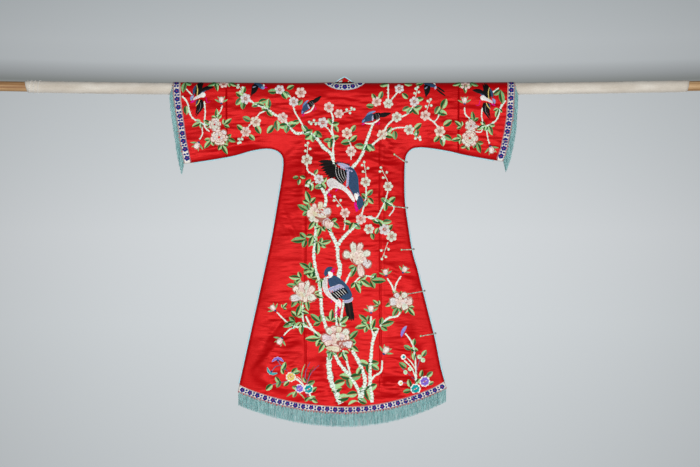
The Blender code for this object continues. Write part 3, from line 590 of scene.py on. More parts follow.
def panel(name, outline, side, overlap=False):
    """A cloth panel: its outline filled with fine triangles and laid in place."""
    low, high = outline.min(0), outline.max(0)
    xs = np.arange(low[0], high[0], MESH_X)
    vs = np.arange(low[1], high[1], MESH_V)
    x, v = [axis.ravel() for axis in np.meshgrid(xs, vs)]
    x = x + MESH_X / 2 * (np.round((v - low[1]) / MESH_V) % 2)
    kept = inside(outline, x, v)
    x, v = x[kept], v[kept]
    for crease in CREASE_LINES:
        near = np.abs(x - crease) < MESH_X
        x, v = x[~near], v[~near]
        for offset in CREASE_ROWS:
            column = np.arange(low[1], high[1], MESH_V * 1.5) + offset * 0.4
            across = np.full(len(column), crease + offset)
            held = inside(outline, across, column)
            x = np.append(x, across[held])
            v = np.append(v, column[held])
    clear = distance_to(np.vstack((outline, outline[:1])), x, v) > MESH_V * 0.55
    points = np.vstack((outline, np.column_stack((x[clear], v[clear]))))
    count = len(outline)
    edges = [(i, (i + 1) % count) for i in range(count)]
    flat, _, faces, *_ = delaunay_2d_cdt([Vector(point) for point in points], edges, [], 1, 1e-6)
    flat = np.array([tuple(point) for point in flat])
    faces = [face if side < 0 else face[::-1] for face in faces]
    obj = new_piece(name, lay(flat[:, 0], flat[:, 1], side, overlap), faces, flat)
    return thicken(obj, CLOTH)


def area_of(outline):
    x, v = outline.T
    return abs(float(np.dot(x, np.roll(v, -1)) - np.dot(v, np.roll(x, -1)))) / 2


def sleeve_ring(hand, shares, rows):
    """Pattern points round a sleeve's end: x, v and side for each share of the way to the cuff."""
    turns = np.linspace(0, 1, rows)
    sides = np.concatenate((np.full(rows, -1), np.full(rows - 2, 1)))
    turns = np.concatenate((turns, turns[-2:0:-1]))
    x = np.full((len(shares), len(turns)), float(SLEEVE_SEAM[hand]))
    for _ in range(3):
        bottom = sleeve_bottom(hand, x)
        v = bottom + (FOLD_TOP - bottom) * turns
        x = SLEEVE_SEAM[hand] + (cuff_x(hand, v) - SLEEVE_SEAM[hand]) * np.array(shares)[:, None]
    return x, v, np.broadcast_to(sides, x.shape), turns


def sleeve_tube(name, hand, shares, out, wall, across=None):
    """A tube round the sleeve's end; its UV is the pattern's, or round and across a ribbon."""
    x, v, sides, turns = sleeve_ring(hand, shares, RING_ROWS)
    points = np.where((sides < 0)[..., None], on_cloth(x, v, -1, out), on_cloth(x, v, 1, out))
    bottom = turns == 0
    points[:, bottom, 1] = 0
    points[:, bottom, 2] -= out
    around = np.where(sides < 0, v, 2 * FOLD_TOP - v)
    uvs = paired(x, around) if across is None else paired(around, across[:, None])
    faces = grid_faces(*x.shape, closed=True, flip=hand > 0)
    return thicken(new_piece(name, points, faces, uvs), wall)


def sleeve_end(hand, name):
    """The sleeve's end piece, a tube open at the cuff."""
    return sleeve_tube(name, hand, np.linspace(0, 1, 34), 0, CLOTH)


# Ribbons

RIBBON_OUT = CLOTH / 2 + RIBBON_WALL / 2 + 0.0001
RIBBON_FACE = RIBBON_OUT + RIBBON_WALL / 2


def ribbon_grid(name, x, v, side, uvs):
    points = on_cloth(x, v, side, RIBBON_OUT, side > 0)
    obj = new_piece(name, points, grid_faces(*x.shape, flip=side < 0), uvs)
    return thicken(obj, RIBBON_WALL)


def hem_ribbon(name, side):
    """A band along the hem; its UV runs along and across the ribbon."""
    low = side_x(-1, hem_v(SEAM[-1][-1][0]) + 0.001)
    high = side_x(1, hem_v(SEAM[1][-1][0]) + 0.001)
    share = np.linspace(0, 1, 170)[:, None]
    across = HEM_RIBBON * np.linspace(0, 1, 7)
    x = low + (high - low) * share
    v = hem_v(x) + across
    lean = (side_x(-1, v) - low) * (1 - share) + (side_x(1, v) - high) * share
    return ribbon_grid(name, x + lean, v, side, paired(x, across))


def neck_arc(turns, share):
    """Pattern points on the neck ribbon, at a share of the way across it."""
    half = NECK_HALF + (NECK_RIBBON_HALF - NECK_HALF) * share
    drop = NECK_DROP + (NECK_RIBBON_DROP - NECK_DROP) * share
    return NECK_X - half * np.cos(turns), FOLD_TOP - drop * np.sin(turns)


def neck_ribbon():
    turns = np.linspace(0, math.pi, 64)[:, None]
    share = np.linspace(0, 1, 7)
    uvs = paired(turns * 0.06, share * 0.028)
    return ribbon_grid("neck_ribbon_woven", *neck_arc(turns, share), -1, uvs)


def cuff_ribbon(hand, name):
    reach = abs(cuff_x(hand, -0.1) - SLEEVE_SEAM[hand])
    shares = np.linspace(1 - CUFF_RIBBON / reach, 1, 7)
    return sleeve_tube(name, hand, shares, RIBBON_OUT, RIBBON_WALL, (shares - shares[0]) * reach)


# Stitching

class Stitching:
    """Raised satin stitch gathered as one mesh, on one side of the robe.

    Shapes are strips: a centre line with a half width, a crown and two colours. The frame that
    a motif works in is a place on the pattern, a turn in degrees and a size.
    """

    def __init__(self, side, base, overlap=None, keep=None, facing=1):
        self.side, self.facing, self.base = side, facing, base
        self.overlap, self.keep = overlap, keep
        self.flat, self.out, self.colour, self.thread, self.faces = [], [], [], [], []
        self.count = 0
        self.frame(0, 0, 0, 1)

    def frame(self, x, v, turn, size, flip=1):
        self.origin = np.array((x, v))
        self.turn, self.size, self.flip = turn, size, flip

    def at(self, points):
        """Motif points to pattern points."""
        p = np.atleast_2d(np.asarray(points, float)) * self.size * np.array((1, self.flip))
        return self.origin + turned(p, self.turn)

    def strip(self, line, half, colours, lift, raised, cells, sideways=False):
        """A crowned strip of stitches along a line, in the motif's frame.

        half is one half width for each point, colours are those of its root, tip and edge, and
        sideways lays the threads across the strip.
        """
        line = self.at(line)
        half = np.asarray(half, float) * self.size
        t = np.sin(np.linspace(-1, 1, cells + 1) * math.pi / 2)
        flat = line[:, None, :] + rightward(line)[:, None, :] * (half[:, None] * t)[..., None]
        if self.keep is not None:
            good = self.keep(flat[..., 0], flat[..., 1]).all(axis=1)
            if sideways and not good.all():
                first = int(np.argmax(good))
                last = first + int(np.argmin(np.append(good[first:], False)))
                line, half, flat, good = [a[first:last] for a in (line, half, flat, good)]
            if len(good) < 2 or not good.all():
                return
        count = len(line)
        share = np.linspace(0, 1, count)
        ends = np.minimum(1, np.sin(np.pi * np.clip(share, 0.02, 0.98)) * 2.2)
        out = raised + lift * np.sqrt(np.clip(1 - t * t, 0, 1)) * ends[:, None]
        out = out - RIM_SINK * (np.abs(t) > 0.99)
        root, tip, edge = [np.array(THREAD[name]) for name in colours]
        colour = root + (tip - root) * share[:, None, None]
        colour = colour + (edge - colour) * (np.abs(t)[None, :, None] ** 6) * 0.9
        thread = paired(lengths_along(line)[:, None], half[:, None] * t)
        if sideways:
            thread = thread[..., ::-1]
        corner = flat[:-1, :-1] - flat[1:, 1:]
        other = flat[:-1, 1:] - flat[1:, :-1]
        turned_over = (corner[..., 0] * other[..., 1] - corner[..., 1] * other[..., 0]).sum() < 0
        flip = turned_over == (self.side * self.facing < 0)
        self.faces.append(np.array(grid_faces(count, cells + 1, flip=flip)) + self.count)
        self.flat.append(flat.reshape(-1, 2))
        self.out.append(np.broadcast_to(out, flat.shape[:2]).ravel())
        self.colour.append(np.broadcast_to(colour, flat.shape[:2] + (3,)).reshape(-1, 3))
        self.thread.append(thread.reshape(-1, 2) + 0.13 * self.count % 7)
        self.count += len(self.flat[-1])

    def piece(self, name, material):
        x, v = np.vstack(self.flat).T
        out = (self.base + np.concatenate(self.out)) * self.facing
        points = on_cloth(x, v, self.side, out)
        if self.overlap is not None:
            over = inside(self.overlap, x, v)
            points[over] = on_cloth(x[over], v[over], self.side, out[over], True)
        obj = new_piece(name, points, np.vstack(self.faces), np.vstack(self.thread))
        colour = np.column_stack((np.vstack(self.colour), np.ones(len(x))))
        layer = obj.data.color_attributes.new("Thread", "FLOAT_COLOR", "POINT")
        layer.data.foreach_set("color", colour.ravel())
        obj.data.materials.append(material)
        return obj


def swell(count, peak=0.5, blunt=0.6):
    """Half widths, 0 to 1, of a shape that is widest at its peak; blunt rounds its ends."""
    share = np.linspace(0, 1, count)
    power = math.log(0.5) / math.log(peak)
    return np.sin(np.pi * share ** power) ** blunt + 0.02


def run(length, count, bend, start=0):
    """A line forward from the motif's origin that bends to its left."""
    share = np.linspace(0, 1, count)
    return np.column_stack((start + share * length, bend * length * np.sin(share * math.pi / 2) ** 2))


def turned(line, degrees):
    x, v = np.asarray(line).T
    cos, sin = math.cos(math.radians(degrees)), math.sin(math.radians(degrees))
    return np.column_stack((x * cos - v * sin, x * sin + v * cos))


def round_spot(work, size, count, half, colours, lift, raised, cells=3, blunt=0.5, middle=(0, 0)):
    """A round patch of stitches as long as its size, round a point in the motif."""
    work.strip(run(size, count, 0, -size / 2) + middle, half * swell(count, 0.5, blunt), colours,
               lift, raised, cells)


# Motifs, in motif units: a blossom or leaf is about 1 unit long

# Root and tip of each petal tone, then the tone of the thread round it
PETALS = {
    "cream": ("sand", "cream"), "shell": ("blush", "shell"), "cloud": ("mist", "pearl"),
    "green": ("celadon", "ivory"), "straw": ("ecru", "butter"), "lilac": ("mauve", "lilac"),
}
MAGENTA = ("magenta", "magenta", "magenta")
BLACK = ("ink", "ink", "brown")
BLUE = ("denim", "denim", "steel")
SKY = ("dusk", "azure", "dusk")
WHITE = ("mist", "white", "white")
LAVENDER = ("lavender", "lavender", "lilac")
GOLD = ("gold", "gold", "straw")
PLAIN = ("white", "white", "white")
NAVY = ("navy", "navy", "navy")


def plume(work, start, end, width, colours, raised, bend=0, peak=0.55, lift=0.0005, cells=3):
    """A feather, petal or toe from one point to another, bent to its left."""
    start, end = np.array(start, float), np.array(end, float)
    share = np.linspace(0, 1, 7)[:, None]
    square = np.array((start[1] - end[1], end[0] - start[0]))
    line = start + (end - start) * share + square * bend * np.sin(np.pi * share)
    work.strip(line, width * swell(7, peak, 0.5), colours, lift, raised, cells)


def petal(work, start, end, half, tone, raised, bend=0):
    """A petal with a dark rim of thread round it, which paints the shadow and red gap between petals, and a
    vein.
    """
    start, end = np.array(start, float), np.array(end, float)
    root, tip = PETALS[tone]
    reach = end - start
    rim = reach / np.hypot(*reach) * half * 0.11
    # the first strip is the dark rim beneath: painted shadow and red gap between petals
    for extra, colours, up in ((rim, ("garnet", "rose", "rose"), -0.0002), (0, (root, tip, tip), 0)):
        wide = half * (1.11 if up else 1)
        share = np.linspace(0, 1, 8)[:, None]
        line = start + (end + extra - start) * share
        work.strip(line, wide * swell(8, 0.58, 0.42), colours, 0.0009 - up * 0.5, raised + up, 5)
    plume(work, start + reach * 0.15, start + reach * 0.72, half * 0.07, (root, root, root),
          raised + 0.0010, bend, 0.5, 0.0001, 2)


def blossom(work, tone):
    """A flat flower edged with dark thread, which paints the shadow and red gaps round its petals."""
    root, tip = PETALS[tone]
    # a dark disc under the petals; its garnet rim is painted shadow and red gap round them
    round_spot(work, 0.88, 8, 0.41, ("rose", "rose", "garnet"), 0.0002, 0, 4)
    for k in range(6):
        ball = turned(run(0.38, 7, 0, 0.13), 60 * k)
        work.strip(ball, 0.172 * swell(7, 0.56, 0.42), (root, tip, root), 0.0012,
                   0.0003 + 0.00012 * (k % 2), 4)
    round_spot(work, 0.20, 6, 0.09, ("rose", root, "rose"), 0.0004, 0.0010)


def bud(work):
    """A round bud in its sepals."""
    for angle in (-62, -28, 28, 62):
        work.strip(turned(run(0.80, 6, 0, 0.05), angle), 0.10 * swell(6, 0.45, 0.9),
                   ("fern", "lime", "fern"), 0.0004, 0.0002, 2)
    petal(work, (-0.08, 0), (0.72, 0), 0.30, "shell", 0.0006)
    plume(work, (0.10, 0.02), (0.62, -0.10), 0.12, ("shell", "white", "shell"), 0.0016)
    work.strip(run(0.20, 4, 0, -0.16), 0.16 * swell(4), ("navy", "steel", "ink"), 0.0006, 0.0012, 3)


def half_leaves(work, spine, half, dark, light, raised):
    """A leaf's dark and light half, with a vein."""
    square = rightward(spine)
    for hand, root, tip, edge in ((1, "pine", dark, "fern"), (-1, light, light, "sage")):
        work.strip(spine + square * (half * 0.53 * hand)[:, None], half * 0.47, (root, tip, edge),
                   0.0008, raised, 3)
    plume(work, spine[1] + square[1] * half[1] * 0.5, spine[-2] + square[-2] * half[-2] * 0.5, 0.022,
          ("ink", "pine", "pine"), raised + 0.0008)


def leaf(work, dark, light, bend):
    """A leaf centred on its place."""
    half_leaves(work, run(1, 8, bend, -0.5), 0.30 * swell(8, 0.46, 0.8), dark, light, 0.0002)


def lobed_leaf(work, dark, light):
    """A peony leaf: a long middle lobe and two side ones."""
    for angle, reach, width in ((50, 0.56, 0.18), (-46, 0.60, 0.18), (0, 1, 0.21)):
        spine = turned(run(reach, 8, 0.12 if angle >= 0 else -0.12, 0.03), angle) - (0.45, 0)
        half_leaves(work, spine, width * swell(8, 0.48, 0.85), dark, light, 0.0002 + 0.0003 * (angle == 0))


def sprig(work, length):
    """A thin stem with round flower buds; length is in squares."""
    work.strip(run(1, 7, 0.08), np.full(7, 0.42 / length), ("bark", "bark", "moss"), 0.0005, 0.0001,
               2, True)
    berry = 1.45 / length
    for share, hand in ((0.38, 1), (0.62, -1), (0.84, 1), (1.06, 0)):
        spot = (share, 0.19 * hand + 0.08 * share * share)
        if hand:
            plume(work, (share - 0.10, 0.03 * hand), spot, 0.32 / length, ("bark", "mint", "moss"), 0.0002)
        round_spot(work, 2 * berry, 5, berry, ("mint", "bark", "moss"), 0.0010, 0.0003, 4, middle=spot)


def branch(work, points, thick, thin, seed):
    """A knotty stem, stitched across."""
    line = respaced(stem_line(points, 5), 1.1)
    rng = np.random.default_rng(seed)
    count = len(line)
    half = np.linspace(thick, thin, count) / 2 * (1 + 0.30 * rng.uniform(-1, 1, count))
    work.strip(line, half, ("bark", "bark", "aqua"), 0.0009, 0.0001, 4, True)
    square = rightward(line)
    for i in range(2, count - 1, 3):
        hand = 1 if rng.random() < 0.5 else -1
        start = line[i] + square[i] * half[i] * 0.5 * hand
        end = start + square[i] * (half[i] * 0.6 + 0.5) * hand + (line[i] - line[i - 1]) * 0.5
        work.strip(np.array((start, (start + end) / 2, end)), (0.45, 0.36, 0.10),
                   ("bark", "bark", "moss"), 0.0005, 0.0003, 2)
        if thick > 1.9:
            tick = np.array((-0.9, -0.3, rng.uniform(0, 0.8)))[:, None] * hand * half[i]
            work.strip(line[i] + square[i] * tick, (0.16, 0.30, 0.10), ("moss", "pine", "moss"),
                       0.0002, 0.0010, 2)


def peony(work, seed, tone):
    """A full flower of three rings of petals."""
    rng = np.random.default_rng(seed)
    tones = list(PETALS)[:4]
    for ring, (count, reach, half) in enumerate(((7, 0.50, 0.17), (6, 0.35, 0.14), (4, 0.22, 0.10))):
        spin = rng.uniform(0, 360)
        for k in range(count):
            angle = spin + 360 * (k + rng.uniform(-0.15, 0.15)) / count
            start, end = turned(np.array(((0.06, 0), (reach * rng.uniform(0.85, 1.08), 0))), angle)
            petal(work, start, end, half, tones[(tone + int(rng.integers(0, 3))) % 4],
                  0.0004 + 0.0007 * ring + 0.00005 * k, rng.uniform(-0.1, 0.1))


def rosette(work, inner, outer):
    """A small flower with a pale scalloped rim."""
    for k in range(9):
        work.strip(turned(run(0.26, 5, 0, 0.24), 40 * k), 0.14 * swell(5, 0.55, 0.5),
                   (outer, "white", outer), 0.0005, 0.0002, 3)
    for k in range(7):
        work.strip(turned(run(0.34, 5, 0, 0.06), 51.4 * k + 15), 0.14 * swell(5, 0.6, 0.5),
                   (inner, inner, inner), 0.0006, 0.0007, 3)
    for angle in (20, 200):
        work.strip(turned(run(0.22, 4, 0.2, 0), angle), 0.035 * swell(4), ("shell", "white", "shell"),
                   0.0004, 0.0014, 2)


def crescent(work, colour):
    """A drooping flower seen from its side."""
    arc = smooth_line(((-0.52, -0.16), (-0.25, 0.10), (0, 0.17), (0.25, 0.10), (0.52, -0.16)), 2)
    half = (0.04, 0.09, 0.13, 0.10, 0.15, 0.10, 0.13, 0.09, 0.03)
    work.strip(arc, half, (colour, colour, "white"), 0.0007, 0.0002, 4)
    work.strip(run(0.24, 4, 0, -0.12), 0.10 * swell(4), ("steel", "navy", "navy"), 0.0005, 0.0008, 2)


def round_bud(work, colour, rim):
    """A round bud with a rim."""
    round_spot(work, 1, 6, 0.5, (rim, rim, rim), 0.0008, 0.0003, 4)
    work.strip(run(0.56, 5, 0, -0.2), 0.27 * swell(5, 0.5, 0.5), (colour, colour, colour), 0.0006,
               0.0010, 3)


# Birds, stroke by stroke in squares right and down: points, half widths, colours, height

GREAT_BIRD = (
    ((-2.5, 74, 2, 75, 7, 77, 12, 79), (1, 1.8, 1.9, 0.9), LAVENDER, 0.8),
    ((5, 77, 10.5, 82, 13, 89, 13.8, 96, 16, 102.5, 18.5, 107.5), (1.8, 4.5, 5.2, 5, 3.5, 2), BLUE, 1.2),
    ((-12.2, 96, -7.8, 93.6, -2.5, 95.3, 3.3, 98.2, 8.4, 102.5, 12, 107.6, 14.6, 112),
     (4.6, 5.2, 3.2, 2.2, 2, 1.9, 1), WHITE, 1.5),
    ((14.5, 103.5, 16.5, 106, 17.3, 111), (1.4, 2.2, 1.4), PLAIN, 1.7),
    ((17, 102.5, 19.3, 106), (1, 0.7), LAVENDER, 2.2),
    ((19.2, 105.6, 19.9, 110, 19.9, 115, 19, 120), (1.2, 3.2, 3.3, 0.4), BLUE, 2),
    ((15, 112.3, 15.9, 116.3, 16.8, 119.6, 16.2, 122), (1.2, 1.3, 1.5, 0.3), MAGENTA, 2.4),
    ((16.8, 116.4, 17.6, 116.4, 18.4, 116.4), (0.5, 0.9, 0.5), BLACK, 3.1),
    ((17.3, 116.2, 17.9, 116.2), (0.3, 0.3), GOLD, 3.4),
    ((-12.7, 98.9, -11.1, 103.3, -8.6, 107.6), (0.45, 0.45, 0.3), MAGENTA, 0.8),
    ((-2.1, 99, -4.6, 101.5), (0.45, 0.45), MAGENTA, 0.8),
    ((-12.2, 105, -8.6, 105), (0.3, 0.3), MAGENTA, 0.8),
)
SITTING_BIRD = (
    ((5.4, 209, 7, 220, 9.2, 230.2), (1.9, 1.8, 1.5), BLACK, 0.3),
    ((10, 209, 11.6, 220, 13.4, 230.2), (1.9, 1.8, 1.5), BLACK, 0.3),
    ((7.8, 209, 9.4, 220, 11.4, 230.6), (1.6, 1.5, 1.2), ("brown", "brown", "ink"), 0.7),
    ((-13.7, 186.5, -15, 192.5, -14.4, 199, -11.2, 204.5, -6.2, 208.5, -1.8, 211.8, -0.3, 215, 0, 218.6),
     (1.4, 2.6, 2.5, 2.1, 1.9, 2.7, 1.8, 0.2), WHITE, 0.8),
    ((-9.5, 185.5, -6.5, 190.5, -2, 196, 3.2, 201.6, 7.8, 206.4, 10.3, 209),
     (2.6, 5.8, 7.4, 7.2, 5.2, 2.6), BLUE, 1.2),
    ((-11.8, 199.6, -6.5, 198, -1, 195.9, 2.8, 196.1), (1.4, 2, 2, 0.9), LAVENDER, 2.1),
    ((3, 211.4, 7.5, 211.3, 11.2, 209.8, 12.5, 207), (1.1, 1.5, 1.4, 0.7), LAVENDER, 2.1),
    ((-14.6, 186.2, -13.4, 181.8, -10.9, 178.8, -7, 177.1), (1.3, 2.3, 2.2, 0.2), BLUE, 2),
    ((-11.8, 181.5, -9.4, 184, -8.4, 187), (0.8, 2.4, 1.2), PLAIN, 2.3),
    ((-13.6, 187, -9, 187.2), (0.9, 0.9), PLAIN, 2.2),
    ((-8.3, 180.6, -4.6, 177.8), (0.8, 0.2), MAGENTA, 2.4),
    ((-8.2, 181.9, -5.2, 180.9), (0.9, 0.2), MAGENTA, 2.4),
    ((-9.2, 179.7, -8.2, 179.7), (0.5, 0.5), BLACK, 3),
    ((-7.5, 209.4, -9, 212.6), (0.45, 0.3), MAGENTA, 0.9),
    ((0.4, 218.6, -3.2, 221.5, -5.9, 225.6), (0.45, 0.45, 0.3), MAGENTA, 0.9),
    ((-3.6, 222, -0.5, 224.6), (0.35, 0.2), MAGENTA, 0.9),
)
SMALL_BIRD = (
    ((5, -2, 11, -3, 17, -4.5), (2.4, 2.3, 0.5), BLACK, 0.3),
    ((-11.8, 4.6, -9, 2.4, -5, 0.3, 0, -2.3), (1.2, 2.2, 3.6, 3.8), BLUE, 0.8),
    ((-8, -2, -4, -4.7, 1.5, -6.4), (0.6, 1.2, 0.8), SKY, 1.2), ((-12.2, 5.2, -9.2, 2), (1, 1.3), SKY, 1.5),
    ((-1, 0.5, 3, -1.8, 7.5, -3.3), (3.4, 3.2, 1.9), BLACK, 1.4),
    ((1.5, -4, 3, 0, 2, 2.5), (0.15, 0.25, 0.15), ("slate", "slate", "brown"), 2),
    ((4, -4, 5, -1, 4, 1), (0.15, 0.25, 0.15), ("slate", "slate", "brown"), 2),
    ((-1.2, -2.2, -1.6, 3.4), (0.9, 0.8), LAVENDER, 2),
    ((-9.6, 5.5, -3, 6.1, 2, 4.1, 5.6, 1), (0.5, 0.85, 0.85, 0.5), ("white", "white", "mint"), 2),
    ((-9.4, 5.6, -12.5, 7.5), (0.8, 0.3), MAGENTA, 1.6), ((2.5, 5.2, 2, 7.4), (0.35, 0.2), MAGENTA, 0.4),
    ((5.2, 4, 4.6, 7), (0.4, 0.3), MAGENTA, 0.4),
)
FLYING_BIRD = (
    ((1, -3, 8, -6, 14.2, -7), (1.4, 2.3, 0.9), BLACK, 0.3), ((1, -1, 7, -3.6), (0.8, 0.5), BLUE, 0.8),
    ((-2.6, 2, -2.4, -6, 0.5, -14.5), (1.6, 1.7, 0.5), BLACK, 0.4),
    ((0, 2, 0.2, -7, 2.2, -15), (1.5, 1.8, 0.5), BLACK, 0.7),
    ((1.4, 1, 2, -7, 4, -13.5), (1.2, 1.5, 0.5), BLACK, 0.4),
    ((-5.5, 1, -4.9, -4, -3, -9), (0.7, 1.4, 0.6), BLUE, 0.8),
    ((-2.3, 2.5, -1.5, -4, -2.6, -9.6), (0.4, 0.5, 0.3), GOLD, 1.6),
    ((1, 5, 1.4, 13, -3.4, 22.4), (1.6, 1.8, 0.2), BLACK, 0.5),
    ((2.6, 5, 3.2, 12, -0.5, 19), (1, 1.2, 0.2), BLACK, 0.3),
    ((-1, 5, -1.6, 13, -3.9, 21), (1.2, 1.3, 0.2), BLACK, 0.7), ((-2.2, 6, -3, 11), (1.1, 0.7), BLUE, 1.1),
    ((0.5, 5.5, -1, 9, -3.6, 12), (0.4, 0.5, 0.3), GOLD, 1.6),
    ((1.4, 8, 1, 14, -1.5, 18), (0.1, 0.22, 0.1), ("slate", "slate", "ink"), 1.6),
    ((-6.5, 5.9, -3, 3.6, 1, 1.9, 4, 0.7, 6.4, 0.2), (0.7, 1.3, 1.6, 2.6, 1.4), WHITE, 1.6),
    ((-5.3, 1.4, -7.4, 3.6, -8, 6.6), (0.8, 1.5, 0.7), ("lavender", "azure", "dusk"), 1.8),
    ((-4.4, 6.2, -8.6, 8.6), (1, 0.7), MAGENTA, 2), ((-7.4, 4.8, -6.6, 4.8), (0.5, 0.5), BLACK, 2.8),
    ((6.6, 3, 8, 8, 11, 7.4), (0.35, 0.3, 0.15), MAGENTA, 0.4),
)
# A bird over the fold: its wing and body, then a tail, or a head instead
DIVING_BIRD = (
    ((-4.5, -2.5, 2, 0, 7.6, 2), (2.2, 2.6, 1.7), BLUE, 0.6),
    ((-2, 0, -2, 5, -2.4, 13.5), (2.9, 2.6, 0.2), BLACK, 1),
    ((1, 1, 0, 7, -1.5, 11), (1.4, 1.3, 0.2), BLACK, 1.3),
    ((-3.6, 4.5, -0.8, 2.3), (0.8, 0.6), ("slate", "dusk", "slate"), 1.8),
    ((5.2, -2.4, 7, 0), (0.9, 0.8), ("white", "white", "mint"), 1.6),
)
DIVING_TAIL = (
    ((8.3, 2.3, 12, 4.9, 16.3, 7.8), (0.9, 1, 0.9), BLACK, 0.4),
    ((8, 4.6, 12, 8, 17, 11.5), (0.8, 0.9, 0.7), BLACK, 0.4), ((7.4, 1.6, 6.6, 5), (1.1, 1), LAVENDER, 1.8),
)
DIVING_HEAD = (((4, 1.5, 8, 1.5), (1.9, 1.6), SKY, 1.6), ((7.4, 0.6, 10.4, 0.2), (0.8, 0.3), MAGENTA, 1.8))


def draw(work, strokes):
    """Embroider a bird's strokes."""
    for points, half, colours, height in strokes:
        line = stem_line(points, 4)
        count = len(line)
        width = np.interp(np.linspace(0, 1, count), np.linspace(0, 1, len(half)), half)
        from_end = np.minimum(np.arange(count), np.arange(count)[::-1])
        widest = max(half)
        ends = np.minimum(1, (from_end + 0.7) * 0.42 / min(1, widest))
        work.strip(line, width * ends, colours, 0.0010 if widest > 1 else 0.0005,
                   height * 0.001, 6 if widest > 3 else 3)


def great_bird(work):
    """The large diving bird."""
    tips = ((-22, 72), (-21.2, 75.6), (-19.4, 78.8), (-17.6, 81.2), (-15.8, 83.2), (-14.7, 85),
            (-12.6, 86.8), (-10.8, 88.6))
    for k, tip in enumerate(tips):
        plume(work, (-2.4 - 0.25 * k, 74 + 1.7 * k), tip, 1.95 - 0.10 * k, BLACK,
              0.0002 + 0.00008 * k, 0.05, 0.45, 0.0006)
    for k in range(8):
        start = np.array((-3 + 1.6 * k, 74.6 + 0.35 * k))
        plume(work, start, start + (0.3 + 0.12 * k, -3.6), 0.75, ("steel", "ink", "ink"), 0.0004)
    first = np.array(((-5, 75), (-5.5, 82), (-3.2, 88.5), (3.3, 95.3)))
    last = np.array(((4.4, 80), (5.5, 83), (6.2, 86), (6.8, 89)))
    for k in range(5):
        arc = smooth_line(first + (last - first) * k / 4, 4)
        work.strip(arc, 1.35 * swell(len(arc), 0.5, 0.35), BLACK, 0.0006, 0.0008, 3)
        if k < 4:
            arc = smooth_line(first + (last - first) * (k + 0.5) / 4, 4)
            work.strip(arc, 0.20 * swell(len(arc)), ("white", "white", "slate"), 0.0002, 0.0015, 2)
    draw(work, GREAT_BIRD[:2])
    for k in range(6):
        start = np.array((8.2 - 0.10 * k * k / 3, 81.5 + 2.7 * k))
        plume(work, start + (1, -1.6), start + (-1.4, 2.6), 0.95, LAVENDER, 0.0020)
        start = np.array((0.5 + 2.1 * k, 76.4 + 0.75 * k))
        plume(work, start, start + (1.3, 2.2), 0.8, LAVENDER, 0.0020)
    draw(work, GREAT_BIRD[2:])


def sitting_bird(work):
    """The large bird on the trunk."""
    draw(work, SITTING_BIRD[:6])
    for k in range(6):
        root = np.array((-9.6, 201.6)) + (12 * k / 5, -4.6 * k / 5)
        tip = np.array((-1.6, 209.8)) + (9.4 * k / 5, -6.4 * k / 5)
        plume(work, root, tip, 1.45, ("ink", "ink", "ink"), 0.0021, 0, 0.5)
        if k < 5:
            plume(work, root + (1.9, 0.6), tip + (0.5, -1.4), 0.24, PLAIN, 0.0032, 0, 0.5, 0.0001)
        plume(work, root + (0.4, -1.2), root + (1, 0.9), 0.9, LAVENDER, 0.0030)
    draw(work, SITTING_BIRD[6:])


# Embroidery's layout, in squares right of and below the point at the neck

# x, down, size, turn, tone
BLOSSOMS = (
    (-116, -6, 9.5, 10, "shell"), (-94, 9.3, 11, 40, "cloud"), (-84, 32, 11, 15, "cream"),
    (-94, 42, 10.5, 60, "shell"), (-57, 28, 10.5, 20, "shell"), (-60, 0, 10, 50, "cloud"),
    (-39, 3, 11, 5, "shell"), (-46, 12.3, 10, 30, "cloud"), (-11, 17.5, 10.5, 25, "shell"),
    (-1, 24, 9.5, 55, "shell"), (-17, 33, 11, 12, "cloud"), (7, 43.5, 11, 33, "cream"),
    (11, 61.5, 10.5, 64, "shell"), (-33, 70, 11.5, 22, "green"), (-21, 89.5, 10, 45, "cloud"),
    (5, 123, 10, 8, "shell"), (59, -1, 9.5, 36, "cloud"), (36.5, 12, 10, 18, "shell"),
    (48, 14, 10, 50, "green"), (56.5, 27.5, 10.5, 28, "green"), (42, 45, 10.5, 66, "cream"),
    (69, 40, 10.5, 10, "green"), (74, 12, 10, 40, "cloud"), (85, 26, 10.5, 22, "shell"),
    (99.5, 41.5, 11, 52, "cream"), (25.5, 92, 10.5, 16, "green"), (48, 96.5, 10, 60, "green"),
    (21, 129, 11, 30, "shell"), (29, 139, 10.5, 8, "green"), (44.5, 139.5, 11.5, 42, "cloud"),
    (51.5, 146.5, 11, 24, "green"), (125, -4, 10, 30, "shell"),
)
# x, down, size, seed, first tone
PEONIES = ((-125, 35, 14, 13, 1), (-120.5, 47.5, 18, 15, 0), (130.5, 36.5, 13.5, 17, 1),
           (129.5, 48.5, 18, 19, 3))
